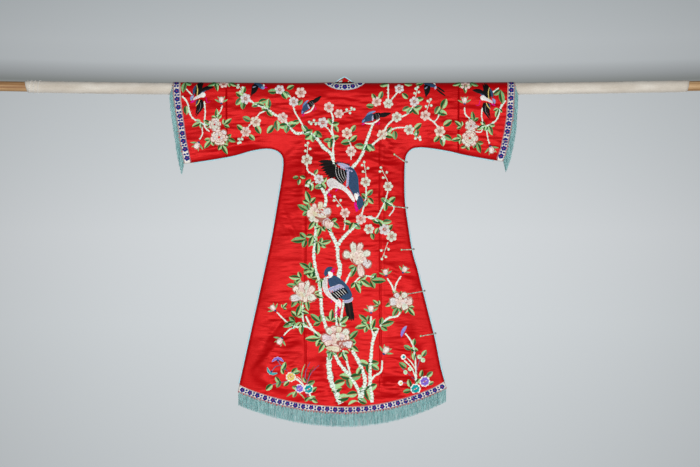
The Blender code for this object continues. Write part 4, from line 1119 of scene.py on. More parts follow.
# Petals of the large flowers: x and down of each root and tip, half width, tone
GREAT_PETALS = (
    # beside the great bird, its underlay first
    (-30, 122.5, -11, 125.5, 7.2, "straw"),
    (-20, 120, -19, 111.3, 2.8, "straw"), (-25, 121, -25.7, 113.2, 2.3, "shell"),
    (-26, 122, -29.4, 116.6, 2.3, "cream"), (-25, 123.5, -33.6, 123.6, 4, "cream"),
    (-24.5, 126.5, -30.6, 131, 3.2, "green"), (-22.5, 127, -24.6, 132.8, 2.9, "cream"),
    (-17, 121.5, -8.6, 122.4, 4.4, "cloud"), (-13.5, 127.5, -13, 137, 4.8, "lilac"),
    (-12, 129, -9.6, 132.6, 1.6, "cream"), (-20, 125, -16.5, 130, 2.7, "straw"),
    (-20.5, 123.5, -24.5, 119.5, 2.1, "shell"), (-22, 121, -15.4, 126, 1.1, "cloud"),
    (-20.5, 119.8, -14.6, 124, 1.1, "shell"), (-23.4, 123, -17.6, 127.6, 1.2, "cloud"),
    # above the sitting bird's tail
    (-12, 249, 8, 250, 8.2, "shell"),
    (-6, 247, -19.6, 248.4, 4.6, "lilac"), (-8, 245.5, -12.6, 236.6, 3.4, "green"),
    (-6, 243, -6.6, 235, 3.4, "shell"), (-2, 243, -0.6, 235.6, 3.4, "straw"),
    (2, 246, 8.6, 238.8, 3.6, "green"), (3, 248, 9.6, 246.4, 2.8, "cream"),
    (2, 251.5, 13, 255.4, 4.3, "cloud"), (-14.6, 257.6, 1.4, 259.2, 3.2, "straw"),
    (-6, 251, -16, 254, 2.8, "shell"), (-4.6, 252, -8.4, 242, 2.5, "shell"),
    (-1.6, 252, -2.4, 241, 2.4, "green"), (1.4, 252, 3.2, 242.6, 2.2, "lilac"),
    (-6.6, 254, -0.6, 247, 1.5, "cream"), (-1, 255, 3.6, 248, 1.4, "shell"),
    # left of it
    (-44, 204, -28.5, 204.5, 7.2, "cream"),
    (-37, 206.5, -50.4, 208.6, 3.6, "cloud"), (-35, 206, -23.4, 208.2, 4, "green"),
    (-37.5, 204.5, -46.8, 196.2, 3.4, "cream"), (-33.6, 204.5, -25.2, 196, 3.5, "shell"),
    (-37.4, 203, -38.8, 190.8, 3.3, "shell"), (-34.8, 202.5, -31.8, 190.2, 2.9, "green"),
    (-36, 207, -40.4, 200.6, 2.2, "straw"), (-35.4, 207, -34.8, 198.4, 2.6, "green"),
    (-34.6, 207, -30.2, 201.6, 2.1, "shell"),
    # by the right side
    (53, 211, 69.5, 211.5, 6.2, "shell"),
    (58.4, 211.4, 48.8, 211.8, 4.3, "cloud"), (57.6, 208.6, 55.8, 202, 2.7, "cloud"),
    (63, 208.6, 65.2, 201.8, 3.3, "green"), (63.6, 211.4, 72.8, 210.6, 4.6, "shell"),
    (60, 212.6, 57.6, 217.8, 2.7, "cream"), (63.4, 213, 65.8, 220, 3.8, "green"),
    (60, 213.4, 55, 208.6, 1.7, "shell"), (61, 213.4, 59.4, 205.4, 2, "cream"),
    (63.2, 213.6, 66.4, 207.8, 1.7, "cloud"), (57.4, 210.2, 65.8, 213.4, 1.2, "cloud"),
    # the open flower in the middle
    (8.5, 164.5, 26, 168.5, 7.6, "cream"),
    (11.4, 165.4, 2.6, 164, 4.4, "green"), (14.4, 164, 12.6, 151.8, 3.2, "green"),
    (17.6, 161.4, 21.8, 152.8, 3, "shell"), (22, 165.2, 30.4, 161.8, 3.5, "green"),
    (22.4, 169.4, 30.6, 177, 4.2, "cloud"), (19, 173.4, 22.2, 187, 3.6, "shell"),
    (14, 168.6, 10.6, 162.6, 2.4, "cream"), (17.4, 169.6, 15.8, 160.8, 2.6, "shell"),
    (19.6, 169.2, 21.8, 161.8, 2.3, "cream"), (21, 170.4, 26.4, 167.6, 2, "shell"),
    (20.6, 171.6, 14.8, 173, 2.1, "cream"),
    (-11.5, 139, -13.6, 129.8, 3, "shell"), (-10, 138.6, -7.4, 131.4, 2.2, "cream"),
)
# x, down, size, turn: buds in their sepals
BUDS = (
    (-118, 13.5, 9, 90), (124, 14, 9, 92), (46, 185, 9, 100), (63, 182, 9, 60), (-65, 220, 9, 130),
    (-58, 248, 10, 235), (31, 222, 10, 92), (44, 263, 11, 60), (-141, 53, 10, 240), (150, 57, 10, 290),
)
# x, down, length, turn of sprigs of round buds
SPRIGS = (
    (-95, 5, 11, 118), (-97, 46, 8, 235), (-20, 33, 10, 172), (3, 23, 11, 12), (-33, 66, 12, 80),
    (-26, 92, 8, 200), (26, 87, 14, 92), (48, 92, 15, 112), (75, 8, 10, 72), (86, 22, 12, 66),
    (3, 119, 14, 120), (48, 152, 17, 245), (72, 43, 10, 315), (102, 45, 6, 280),
)
# x, down, length, turn of plain leaves, each at its middle
LEAVES = (
    (-151, -7, 8, 330), (-153.5, 21, 9, 265), (-100, 6, 9, 160), (-101, 12, 9, 225), (-96, 15.5, 9, 275),
    (-95, 1, 7, 60), (-84, 15.5, 8, 210), (-79, 15, 8, 330), (-77, 11, 9, 30), (-71, 14, 10, 80),
    (-73.5, 19.5, 9, 200), (-70.5, 24, 8, 300), (-93, 29.5, 9, 160), (-82, 40, 10, 290),
    (-100, 38.5, 8, 150), (-88, 48, 8, 310), (-67, 2.5, 9, 190), (-56, 6, 9, 290), (-53, 4.5, 9, 330),
    (-49, -2, 8, 20), (-40, 12.5, 7, 60), (-63, 36, 11, 270), (-69, 40, 10, 240), (-56.5, 35.5, 10, 170),
    (-52.5, 38, 11, 265), (-48, 35.5, 11, 10), (-44, 32, 8, 30), (-35, 38.5, 9, 130), (-32, 42, 10, 30),
    (-31, 46, 10, 200), (-27.5, 48, 9, 290), (-24, 45.5, 9, 60), (-21, 44, 9, 330), (-9.5, 32, 8, 120),
    (-5, 34, 8, 20), (-4, 39.5, 7, 280), (-12.5, 51, 8, 190), (-5, 48.5, 9, 10), (-9, 54, 9, 280),
    (13.5, 39, 8, 50), (6, 53, 10, 200), (14, 49.5, 9, 30), (-24, 82, 6, 60), (-37, 87, 6, 150),
    (-44, 88, 6, 200), (-41, 92, 6, 250), (-32, 92, 8, 60), (-29, 97, 8, 250), (-21, 97, 9, 200),
    (-17, 96, 8, 300), (-16, 90, 7, 60), (19.5, 56, 10, 170), (25, 58, 9, 250), (27, 58.5, 9, 290),
    (31, 57.5, 10, 330), (34, 7, 7, 110), (30, 17, 8, 190), (41, 5.5, 8, 65), (49, 40.5, 8, 70),
    (48.5, 46.5, 9, 330), (55, 45.5, 9, 280), (65, 6, 8, 130), (79, 9, 8, 20), (65.5, 19, 8, 200),
    (70, 21.5, 9, 230), (74.5, 22, 9, 300), (77.5, 18, 9, 30), (78, 37, 9, 30), (77, 43.5, 8, 270),
    (96.5, 20.5, 9, 235), (103, 14, 11, 75), (101.5, 24, 10, 330), (99.5, 22.5, 8, 60),
    (107.5, 34, 10, 25), (97, 49.5, 8, 240), (102, 52, 9, 275), (108, 47.5, 9, 340), (44, -6, 9, 185),
    (68, -6, 8, 350), (79.5, -6, 8, 10), (24, 107, 8, 150), (30, 103, 8, 40), (31, 110.5, 8, 320),
    (25, 113, 8, 230), (44.5, 111, 9, 150), (52, 110.5, 9, 30), (46, 117, 8, 280), (49.5, 114, 8, 330),
    (36, 131.5, 9, 170), (41, 134, 9, 300), (47, 131.5, 9, 10), (50, 138, 8, 40), (33, 146, 7, 300),
    (37, 141, 7, 60), (7, 133, 8, 170), (11, 136, 9, 230), (17, 136, 9, 330), (-1, 292, 12, 190),
    (5, 287, 11, 180), (9, 293, 11, 280), (15, 286, 12, 20), (20, 281, 10, 50), (23, 273, 11, 165),
    (28, 278, 10, 260), (33, 272, 11, 20), (35, 277, 9, 320), (3, 308, 13, 195), (12, 303, 11, 175),
    (22, 300, 10, 200), (27, 305, 11, 280), (31, 296, 12, 40), (13, 313, 10, 20), (22, 311, 10, 160),
    (-3, 300, 11, 10), (-56, 277, 8, 240), (-55, 275, 7, 60), (-46, 280, 8, 60), (-43, 282, 7, 10),
    (-57, 281, 6, 300), (-62, 289, 7, 110), (-61, 293.5, 8, 250), (-71, 296.5, 9, 215),
    (-53, 293.5, 7, 235), (-44.5, 297, 7, 160), (-29, 292, 8, 35), (-25.5, 299.5, 7, 30),
    (-45, 304, 7, 250), (-35, 289.5, 6, 110), (-33.5, 308.5, 6, 60), (-28, 308, 8, 20),
    (-25, 310, 7, 335), (74.3, 252, 7, 70), (67, 257.3, 8, 155), (74, 259.6, 8, 335),
    (74.5, 266, 8, 280), (84.2, 263.3, 8, 50), (62.3, 275.3, 9, 150), (81.6, 283.3, 7, 60),
    (89.4, 283.8, 8, 45), (69.5, 292.6, 8, 95), (67, 301.4, 8, 205), (91, 293, 6, 20), (77, 290.5, 7, 60),
)
# x, down, length, turn of lobed leaves, each at its middle
LOBED_LEAVES = (
    (-154.5, -3, 12, 268), (-123, -3, 9, 270), (-107, -6, 9, 340), (-127, -6, 9, 200),
    (-123, 25, 10, 100), (-112, 33, 10, 30), (-109, 49.5, 10, -15), (-116, 59, 11, 290),
    (-131, 54, 11, 240), (-131, 33, 10, 140), (-142, 35, 10, 215), (117, -6, 9, 190), (133, -6, 9, 340),
    (124, -1, 9, 265), (118, 35, 9, 150), (133, 27.5, 10, 90), (117, 50, 10, 200), (124.5, 60, 9, 250),
    (138.5, 57, 11, 300), (141, 37, 10, 200), (150, 39.5, 11, 300), (160, 7, 14, 270), (157, 23, 9, 260),
    (-31, 108, 13, 100), (-36, 119, 13, 160), (-28, 134, 11, 225), (-20, 141, 11, 260),
    (-12, 138, 10, 300), (-5, 134, 11, 330), (-29, 150, 12, 240), (-40, 150.5, 15, 195),
    (-23, 157, 13, 260), (-15, 152, 11, 25), (-34, 176, 12, 140), (-30, 183, 11, 200),
    (-44, 187, 12, 165), (-47, 196, 11, 180), (-27, 184, 11, 65), (-19, 193, 10, 280),
    (-45, 211, 12, 225), (-32, 214, 11, 290), (-22, 206, 10, 330), (14, 181, 12, 255),
    (17, 197, 12, 285), (25, 192, 13, 335), (37, 191, 15, 350), (57, 205, 11, 150), (50, 213, 10, 200),
    (56, 221, 11, 250), (70, 221, 11, 300), (-42, 221, 13, 80), (-50, 233, 13, 195), (-38, 237, 12, 280),
    (-36, 222, 9, 330), (-24, 229, 13, 150), (-8, 226, 12, 75), (3, 230, 12, 50), (13, 246, 13, 35),
    (-26, 249, 15, 190), (-18, 256, 12, 230), (-9, 265, 11, 260), (4, 266, 11, 290), (14, 257, 11, 330),
    (24, 228, 11, 130), (22, 237, 12, 200), (33, 235, 12, 60), (46, 233, 14, 25), (-55, 216, 7, 40),
    (36, 213, 8, 150),
)
# stems and trunks: thickness at each end, then x and down of each bend
STEMS = (
    (1.4, 1.1, (-153, 0, -149.5, 3.5, -147, 6)),
    (1.8, 1.4, (-163, 2, -159, 5.5, -152, 13, -148, 27, -137, 34, -130, 36)),
    (1.5, 1.3, (-135, 12, -134, 23, -135, 36, -130, 42)), (1.3, 1, (-117, 16, -119, 22, -124, 28)),
    (1.2, 1, (-138, 34, -137, 44, -140, 50)),
    (2, 2.6, (-90, 11, -83, 15, -73, 19, -65, 25, -57, 29, -51, 36, -44, 43.5, -36, 43)),
    (1.3, 1.2, (-74, 21, -80, 24, -84, 29, -92, 38, -96, 46)),
    (1.4, 1.6, (-47, 14, -45, 22, -41, 29, -37, 36, -34, 42)), (1.2, 1.2, (-54, 2, -48, 9)),
    (2.6, 3.2, (-36, 43, -29, 44, -23, 49, -16, 58, -9, 64, -6, 74, -4, 80)),
    (1.7, 2, (-10, 20, -7, 28, -8, 40, -6, 50, -7, 60, -6, 70)), (1.2, 1.2, (-17, 35, -11, 40, -8, 45)),
    (1.2, 1.2, (7, 49, 11, 56, 11, 70)), (1.5, 1.5, (48, -6, 48, 8, 48, 16)),
    (1.3, 1.3, (58, 2, 52, 9, 46, 17)), (2.2, 3.4, (33, 34, 27, 50, 24, 60, 19, 70, 11, 79)),
    (1.6, 2, (56, 28, 47, 36, 42, 46, 30, 57)), (1.3, 1.6, (68, 38, 57, 38, 50, 41, 43, 45)),
    (1.3, 1.4, (73, 16, 68, 24, 58, 28)), (1.5, 1.3, (85, 27, 94, 33, 99, 40)),
    (1.2, 1.2, (93, 33, 97, 29, 99, 24)), (1.4, 1.5, (-33, 74, -32, 81, -25, 86, -20, 94)),
    (2.6, 3.4, (-20, 96, -15, 104, -14, 112, -16, 118)), (2.8, 2.2, (-15, 106, -11, 100, -5, 96)),
    (1.4, 1.7, (26, 96, 26, 106, 24, 116, 21, 126)),
    (1.4, 1.5, (48, 100, 46, 108, 42, 118, 36, 128, 28, 128)), (1.2, 1.2, (47, 112, 54, 118, 49, 126)),
    (2.4, 3.6, (20, 132, 12, 139, 3, 148, -3, 156)), (1.5, 1.6, (22, 128, 31, 127, 38, 132)),
    (1.2, 1.2, (5, 127, 5, 134, 4, 140)), (3, 4, (-13, 132, -9, 143, -3, 156, -2, 168, 0, 178, -2, 190)),
    (2.6, 3.2, (-24, 134, -25, 152, -26, 166, -24, 180, -21, 191, -19, 208, -18, 222, -13, 240)),
    (1.7, 2, (15, 178, 10, 184, 5, 194)), (1.4, 1.4, (14, 193, 22, 186, 36, 187)),
    (1.4, 1.6, (47, 188, 52, 196, 55, 206)), (1.4, 1.5, (61, 186, 56, 194, 54, 206)),
    (1.5, 1.8, (-37, 214, -37, 228, -35, 236)),
    (1.3, 2.4, (-63, 222, -55, 230, -45, 236, -34, 236, -24, 242, -17, 248)),
    (1.3, 1.5, (-56, 245, -50, 239, -43, 236)), (1.8, 2.2, (-34, 226, -29, 236, -24, 243)),
    (2.2, 2.6, (-3, 210, -4, 222, -3, 236)), (2, 2.2, (4, 210, 2, 222, 0, 238)),
    (4.6, 5.6, (-10, 262, -11, 275, -9, 290, -4, 302, 1, 313)),
    (3, 3.6, (-6, 262, 0, 274, 10, 286, 18, 299, 21, 312)),
    (3.2, 4.2, (12, 260, 20, 274, 25, 290, 22, 303, 20, 312)), (1.8, 2, (3, 260, 7, 272, 11, 286)),
    (2.8, 3.8, (38, 238, 33, 250, 31, 267, 30, 287, 32, 312)),
    (1.8, 2.4, (60, 222, 57, 226, 48, 228, 40, 236)), (1.7, 2, (31, 226, 31, 236, 34, 246)),
    (1.5, 2.4, (42, 270, 41, 281, 33, 287, 27, 299)), (1.3, 1.5, (64, 270, 71, 277, 75, 286, 76, 294)),
    (1.4, 1.7, (65, 243, 72, 253, 75, 268, 76, 294)),
    (1.4, 1.5, (-48, 287, -40, 291, -33, 299, -28, 308)), (1.3, 1.3, (124, 18, 125, 25, 131, 30)),
    (1.8, 1.5, (167, 9, 160, 18, 156, 30, 147, 36, 136, 37)),
    (1.5, 1.2, (143, 15, 141, 24, 142, 33, 141, 42, 135, 42)), (1.4, 1.2, (146, 38, 147, 47, 149, 54)),
    (1.4, 1.2, (151, 4, 158, -1)), (2, 1.6, (13, 94, 11, 86)),
)
# dark thin stems: x and down of each bend
TWIGS = (
    (-68, 281, -64, 276, -58, 275), (-62, 270, -58, 276, -48, 284),
    (-72, 296, -64, 293, -54, 291, -48, 288), (-40, 298, -34, 302, -31, 308),
    (62, 278, 68, 283, 75, 290), (60, 292, 67, 293, 74, 297), (-35, 291, -34, 281, -30, 272),
    (-33, 293, -29, 283, -21, 275), (74, 256, 75, 262, 76, 270), (80, 268, 78, 274, 76, 282),
)
# x, down, size, inner and outer colour
ROSETTES = (
    (-49, 286.5, 10.5, "gold", "butter"), (-40.3, 298, 9.5, "violet", "lilac"),
    (-31.3, 298.5, 10.5, "teal", "white"), (75.3, 298.3, 11, "teal", "white"),
    (84.5, 291, 11.5, "violet", "lilac"),
)
# x, down, size, turn, colour
CRESCENTS = ((-62, 269.6, 11, 0, "violet"), (-68.3, 281.2, 11, 150, "teal"))
# x, down, size, turn, middle and rim
ROUND_BUDS = (
    (63.2, 266.6, 5.4, 0, "teal", "white"), (60.4, 292.6, 5.2, 0, "gold", "white"),
    (79.2, 266.6, 4.6, 60, "lime", "mint"), (82.8, 269.8, 4.8, 30, "lime", "mint"),
    (69.6, 278.6, 4.2, 45, "lime", "mint"), (65.2, 281.8, 4.4, 20, "lime", "mint"),
)
# x and down of both ends, half width, two colours: blades of grass and bare stalks
BLADES = (
    (-38.2, 292, -34.8, 273.5, 0.65, "fern", "lime"), (-32.6, 291, -25, 275, 0.5, "pine", "leaf"),
    (-53.5, 306.5, -44, 301.5, 0.9, "fern", "lime"), (-46, 286, -37.5, 294, 0.35, "bark", "bark"),
    (-45, 288.8, -38.5, 293.5, 0.35, "bark", "bark"), (-42, 302, -35, 309, 0.5, "lime", "sage"),
    (-44, 285.5, -37, 292, 0.3, "bark", "bark"), (65.3, 243.3, 72.6, 256, 0.6, "bark", "mint"),
    (70.8, 258, 70, 269, 0.3, "leaf", "sage"), (66, 267, 75, 279, 0.6, "bark", "mint"),
    (60.9, 246.8, 66.6, 235.4, 1.7, "violet", "azure"), (61.9, 243, 64.4, 240, 0.7, "steel", "navy"),
)
# x, down, size, turn and flip of each bird that is used twice
BIRD_PLACES = (
    (SMALL_BIRD, 34, 28, 1, 0, -1), (SMALL_BIRD, -30.2, 16.1, 0.87, 24.5, -1),
    (FLYING_BIRD, -140, 5, 1, 0, -1), (FLYING_BIRD, 146, 8, 1, 180, 1),
    (DIVING_BIRD + DIVING_TAIL, 88, -5, 1, 0, -1), (DIVING_BIRD + DIVING_HEAD, -82, -5, 1, -18, -1),
)


def embroider(work):
    """All of one side's embroidery, stems first and birds last."""
    def motif(x, down, size, turn=0, flip=1):
        work.frame(LAYOUT_ZERO[0] + x * SQUARE, LAYOUT_ZERO[1] - down * SQUARE, turn, size * SQUARE, flip)

    def scatter(table, sew, extra=0):
        """Sew a motif at each row's place, with what its last columns say."""
        for row in table:
            place = len(row) - extra
            motif(*row[:place])
            sew(work, *row[place:])

    work.frame(*LAYOUT_ZERO, 0, SQUARE, -1)
    for seed, (thick, thin, points) in enumerate(STEMS):
        branch(work, points, thick, thin, seed)
    for points in TWIGS:
        line = stem_line(points, 4)
        work.strip(line, np.linspace(0.45, 0.30, len(line)), ("slate", "steel", "navy"), 0.0004,
                   0.0001, 2, True)
    for *ends, half, one, two in BLADES:
        plume(work, ends[:2], ends[2:], half, (one, two, one), 0.0002, -0.08)
    for x, down, length, turn in SPRIGS:
        motif(x, down, length, turn)
        sprig(work, length)
    for i, (x, down, length, turn) in enumerate(LEAVES):
        motif(x, down, length, turn, 1 if i % 2 else -1)
        leaf(work, "leaf" if i % 3 else "moss", "lime" if i % 4 else "sage", 0.06 + 0.05 * (i % 3))
    for i, (x, down, length, turn) in enumerate(LOBED_LEAVES):
        motif(x, down, length, turn, 1 if i % 2 else -1)
        lobed_leaf(work, "leaf" if i % 4 else "fern", "lime" if i % 3 else "sage")

    scatter(BUDS, bud)
    scatter(PEONIES, peony, 2)
    work.frame(*LAYOUT_ZERO, 0, SQUARE, -1)
    for k, (*ends, half, tone) in enumerate(GREAT_PETALS):
        petal(work, ends[:2], ends[2:], half, tone, 0.0004 + 0.00004 * k)
    scatter(BLOSSOMS, blossom, 1)
    scatter(ROSETTES, rosette, 2)
    scatter(CRESCENTS, crescent, 1)
    scatter(ROUND_BUDS, round_bud, 2)
    for bird, *place in BIRD_PLACES:
        motif(*place)
        draw(work, bird)
    for edge_v, reach_x, reach_v in SIDE_FASTENINGS if work.side < 0 else ():
        work.frame(float(side_x(1, edge_v)) + reach_x * 1.06, edge_v + reach_v * 1.06, 0, 0.0084)
        round_bud(work, "mint", "sage")
    work.frame(*LAYOUT_ZERO, 0, SQUARE, -1)
    great_bird(work)
    sitting_bird(work)


def corner_stitches(overlap):
    """The few stitches on the lining side of the overlap's corner."""
    work = Stitching(1, CLOTH / 2, overlap, facing=-1)
    work.frame(*LAYOUT_ZERO, 0, SQUARE, -1)
    for *ends, half, root, tip, edge in (
            (-2, -8.6, 2.4, -10.6, 0.8, "white", "aqua", "white"),
            (-1, -8.2, 0.6, -10.2, 0.6, "white", "white", "mint"),
            (4.6, -8.3, 6.4, -8.9, 0.7, "fern", "leaf", "leaf"),
            (7.8, -8.9, 9.2, -10.4, 0.7, "lime", "bark", "sage"),
            (-4.4, -7.8, -2.2, -8.6, 0.6, "moss", "fern", "leaf"),
            (11.2, -8, 13.2, -7.4, 0.5, "fern", "moss", "leaf"),
            (1.6, -11.2, 3.4, -12.6, 0.4, "fern", "leaf", "leaf")):
        plume(work, ends[:2], ends[2:], half, (root, tip, edge), 0.0003)
    return work


# Ribbon pattern

def ribbon_flower(work, x, v, turn, size):
    """Five navy petals round a red heart."""
    work.frame(x, v, math.degrees(turn), size)
    for k in range(5):
        lobe = turned(run(0.50, 6, 0, 0.02), 90 + 72 * k)
        work.strip(lobe, 0.27 * swell(6, 0.6, 0.45), NAVY, 0.0002, 0, 3)
    round_spot(work, 0.22, 5, 0.10, ("red", "red", "red"), 0.0003, 0.0004)


def ribbon_pattern(work, line, width, pitch, edges):
    """Flowers, pairs of dots and edge threads along a ribbon's middle line."""
    step = 0.004
    line = respaced(line, step)
    square = rightward(line)
    last = len(line) - 1
    count = max(1, round(step * last / pitch))
    for k in range(count):
        i = min(last - 1, round((k + 0.5) / count * last))
        ribbon_flower(work, *line[i], math.atan2(-square[i][0], square[i][1]), width * 0.80)
        j = round((k + 1) / count * last)
        for hand in (-1, 1) if k < count - 1 else ():
            work.frame(*(line[j] + square[j] * width * 0.19 * hand), 0, width * 0.38)
            round_spot(work, 1, 5, 0.48, NAVY, 0.0002, 0, 3, 0.45)
    work.frame(0, 0, 0, 1)
    for offset, colour in edges:
        edge = line + square * width * offset
        work.strip(edge, np.full(len(edge), 0.0024), (colour, colour, "pink"), 0.0002, 0, 2, True)


def hem_middle():
    share = np.linspace(0.004, 0.996, 180)
    low, high = SEAM[-1][-1][0], SEAM[1][-1][0]
    x = low + (high - low) * share
    return np.column_stack((x, hem_v(x) + HEM_RIBBON / 2))


def cuff_middle(hand):
    v = np.linspace(FOLD_TOP, CUFF_TABLE[hand][-1][1], 90)
    v = v[0] + (v - v[0]) * 0.975 - 0.002
    return np.column_stack((cuff_x(hand, v) - hand * CUFF_RIBBON / 2, v))


# Geometry Nodes

def new_tree(name, *sizes):
    """A tree with a route, named sizes and a material for its inputs; returns it and them."""
    tree = bpy.data.node_groups.new(name, "GeometryNodeTree")
    kinds = {"Route": "Geometry", "Seed": "Int", "Sides": "Int", "Material": "Material"}
    for label in ("Route", *sizes, "Material"):
        tree.interface.new_socket(label, in_out="INPUT",
                                  socket_type="NodeSocket" + kinds.get(label, "Float"))
    tree.interface.new_socket("Geometry", in_out="OUTPUT", socket_type="NodeSocketGeometry")
    return tree, tree.nodes.new("NodeGroupInput").outputs


def node(tree, kind, inputs=(), **settings):
    """A node with its settings and inputs; an input may be a value, a socket or another node.

    A kind is the node's type, without its first word for one of the shader's kinds.
    """
    made = tree.nodes.new(kind if "Node" in kind else "ShaderNode" + kind)
    for key, value in settings.items():
        setattr(made, key, value)
    for key, value in dict(inputs).items():
        if isinstance(value, bpy.types.Node):
            value = value.outputs[0]
        if isinstance(value, bpy.types.NodeSocket):
            tree.links.new(value, made.inputs[key])
        else:
            made.inputs[key].default_value = value
    return made


def finish_tree(tree, size, geometry):
    """Every tree ends in Realize Instances and Set Material."""
    real = node(tree, "GeometryNodeRealizeInstances", {"Geometry": geometry})
    smooth = node(tree, "GeometryNodeSetShadeSmooth", {"Geometry": real})
    painted = node(tree, "GeometryNodeSetMaterial", {"Geometry": smooth, "Material": size["Material"]})
    node(tree, "NodeGroupOutput", {0: painted})
    return tree


def spaced_points(tree, size, gap):
    return node(tree, "GeometryNodeResampleCurve", {"Curve": size["Route"], "Length": size[gap]},
                mode="LENGTH")


def swept(tree, size, line, sides):
    ring = node(tree, "GeometryNodeCurvePrimitiveCircle", {"Resolution": sides, "Radius": size["Radius"]})
    return node(tree, "GeometryNodeCurveToMesh", {"Curve": line, "Profile Curve": ring, "Fill Caps": True})


def strand_tree():
    """Wavy threads hung from points spaced along a line."""
    tree, size = new_tree("hanging_threads", "Length", "Pitch", "Radius", "Wave", "Lean", "Scatter", "Seed")

    def uneven(low, high, place=0, kind="FLOAT_VECTOR"):
        chance = node(tree, "FunctionNodeRandomValue",
                      {place: low, place + 1: high, "Seed": size["Seed"]}, data_type=kind)
        return chance.outputs[place // 2]

    drop = node(tree, "Math", {0: size["Length"], 1: -1}, operation="MULTIPLY")
    end = node(tree, "CombineXYZ", {"Z": drop})
    line = node(tree, "GeometryNodeCurvePrimitiveLine", {"End": end})
    cut = node(tree, "GeometryNodeResampleCurve", {"Curve": line, "Count": 8})
    place = node(tree, "GeometryNodeInputPosition")
    noise = node(tree, "TexNoise", {"Vector": place, "Scale": 70, "Detail": 1})
    centred = node(tree, "VectorMath", {0: noise.outputs["Color"], 1: (0.5, 0.5, 0.5)},
                   operation="SUBTRACT")
    sway = node(tree, "VectorMath", {0: centred, "Scale": size["Wave"]}, operation="SCALE")
    bent = node(tree, "GeometryNodeSetPosition", {"Geometry": cut, "Offset": sway})
    spread = node(tree, "CombineXYZ", {"X": size["Scatter"], "Y": size["Scatter"]})
    away = node(tree, "VectorMath", {0: spread, "Scale": -1}, operation="SCALE")
    loose = node(tree, "GeometryNodeSetPosition", {
        "Geometry": spaced_points(tree, size, "Pitch"), "Offset": uneven(away, spread)})
    stretch = node(tree, "CombineXYZ", {"X": 1, "Y": 1, "Z": uneven(0.93, 1.03, 2, "FLOAT")})
    lean = node(tree, "CombineXYZ", {"Y": size["Lean"]})
    hung = node(tree, "GeometryNodeInstanceOnPoints", {
        "Points": loose, "Instance": swept(tree, size, bent, 3), "Rotation": lean, "Scale": stretch})
    spin = uneven((-0.03, -0.03, 0), (0.03, 0.03, 6.283))
    spun = node(tree, "GeometryNodeRotateInstances", {"Instances": hung, "Rotation": spin})
    return finish_tree(tree, size, spun)


def bead_tree():
    """Small round knots along a line, uneven in size."""
    tree, size = new_tree("knots_along_a_line", "Pitch", "Radius", "Seed")
    ball = node(tree, "GeometryNodeMeshIcoSphere", {"Radius": size["Radius"], "Subdivisions": 2})
    scale = node(tree, "FunctionNodeRandomValue", {2: 0.55, 3: 1.25, "Seed": size["Seed"]},
                 data_type="FLOAT")
    spots = spaced_points(tree, size, "Pitch")
    knots = node(tree, "GeometryNodeInstanceOnPoints",
                 {"Points": spots, "Instance": ball, "Scale": scale.outputs[1]})
    return finish_tree(tree, size, knots)


def cord_tree():
    """A round cord swept along a line."""
    tree, size = new_tree("swept_cord", "Step", "Radius", "Sides")
    cord = swept(tree, size, spaced_points(tree, size, "Step"), size["Sides"])
    return finish_tree(tree, size, cord)


def grow(name, tree, routes, material, **sizes):
    """Run a tree along routes, and keep the result as one plain mesh."""
    data = bpy.data.curves.new(name + "_route", "CURVE")
    data.dimensions = "3D"
    for route in routes:
        spline = data.splines.new("POLY")
        spline.points.add(len(route) - 1)
        spline.points.foreach_set("co", np.column_stack((route, np.ones(len(route)))).ravel())
    guide = in_scene(name + "_route", data)
    modifier = guide.modifiers.new("grow", "NODES")
    modifier.node_group = tree
    sizes["Material"] = material
    for item in tree.interface.items_tree:
        if item.item_type == "SOCKET" and item.in_out == "INPUT" and item.name in sizes:
            modifier[item.identifier] = sizes[item.name]
    bpy.context.view_layer.update()
    graph = bpy.context.evaluated_depsgraph_get()
    mesh = bpy.data.meshes.new_from_object(guide.evaluated_get(graph))
    bpy.data.objects.remove(guide, do_unlink=True)
    mesh.name = name
    mesh.validate()
    if not mesh.materials:
        mesh.materials.append(material)
    return in_scene(name, mesh)


# Materials

def new_material(name, colour, roughness, layers=(), place="Pattern", gloss=None, **sockets):
    """A Principled material in layers of noise, on the piece's pattern or on its own place.

    A layer is the noise's scale, detail and distortion, two colour stops or none, and the
    strength and depth of its relief or none. Its stops give the colour, or darken what the
    layers before it and a thread's own colour give.
    """
    material = bpy.data.materials.new(name)
    material.use_nodes = True
    tree = material.node_tree
    shader = tree.nodes["Principled BSDF"].inputs
    shader["Base Color"].default_value = (*colour, 1)
    shader["Roughness"].default_value = roughness
    for key, value in sockets.items():
        shader[key.replace("_", " ")].default_value = value
    source = relief = ground = None
    if place == "Object":
        source = node(tree, "TexCoord").outputs["Object"]
    elif layers:
        source = node(tree, "UVMap", uv_map="Pattern")
    if place == "Thread":
        ground = node(tree, "Attribute", attribute_name="Thread").outputs["Color"]
    for scale, detail, distortion, stops, dent in layers:
        mapping = node(tree, "Mapping", {"Vector": source, "Scale": scale})
        noise = node(tree, "TexNoise", {"Vector": mapping, "Scale": 1, "Detail": detail,
                                        "Distortion": distortion})
        if stops:
            ramp = node(tree, "ValToRGB", {"Fac": noise})
            set_ramp(ramp, stops)
            if ground:
                ramp = node(tree, "Mix", {"Factor": 1, 6: ground, 7: ramp}, data_type="RGBA",
                            blend_type="MULTIPLY")
            ground = ramp.outputs[2 if ground else 0]
        if dent:
            under = {"Normal": relief} if relief else {}
            relief = node(tree, "Bump", {"Height": noise, "Strength": dent[0], "Distance": dent[1],
                                         **under})
        if gloss:
            varied = node(tree, "MapRange", {"Value": noise, "To Min": gloss[0], "To Max": gloss[1]})
            tree.links.new(varied.outputs[0], shader["Roughness"])
            gloss = None
    if layers:
        tree.links.new(ground, shader["Base Color"])
        tree.links.new(relief.outputs[0], shader["Normal"])
    return material


def shade(low, dark, high):
    """Stops of a ramp that darkens where a number is low."""
    return (low, dark), (high, (1, 1, 1))


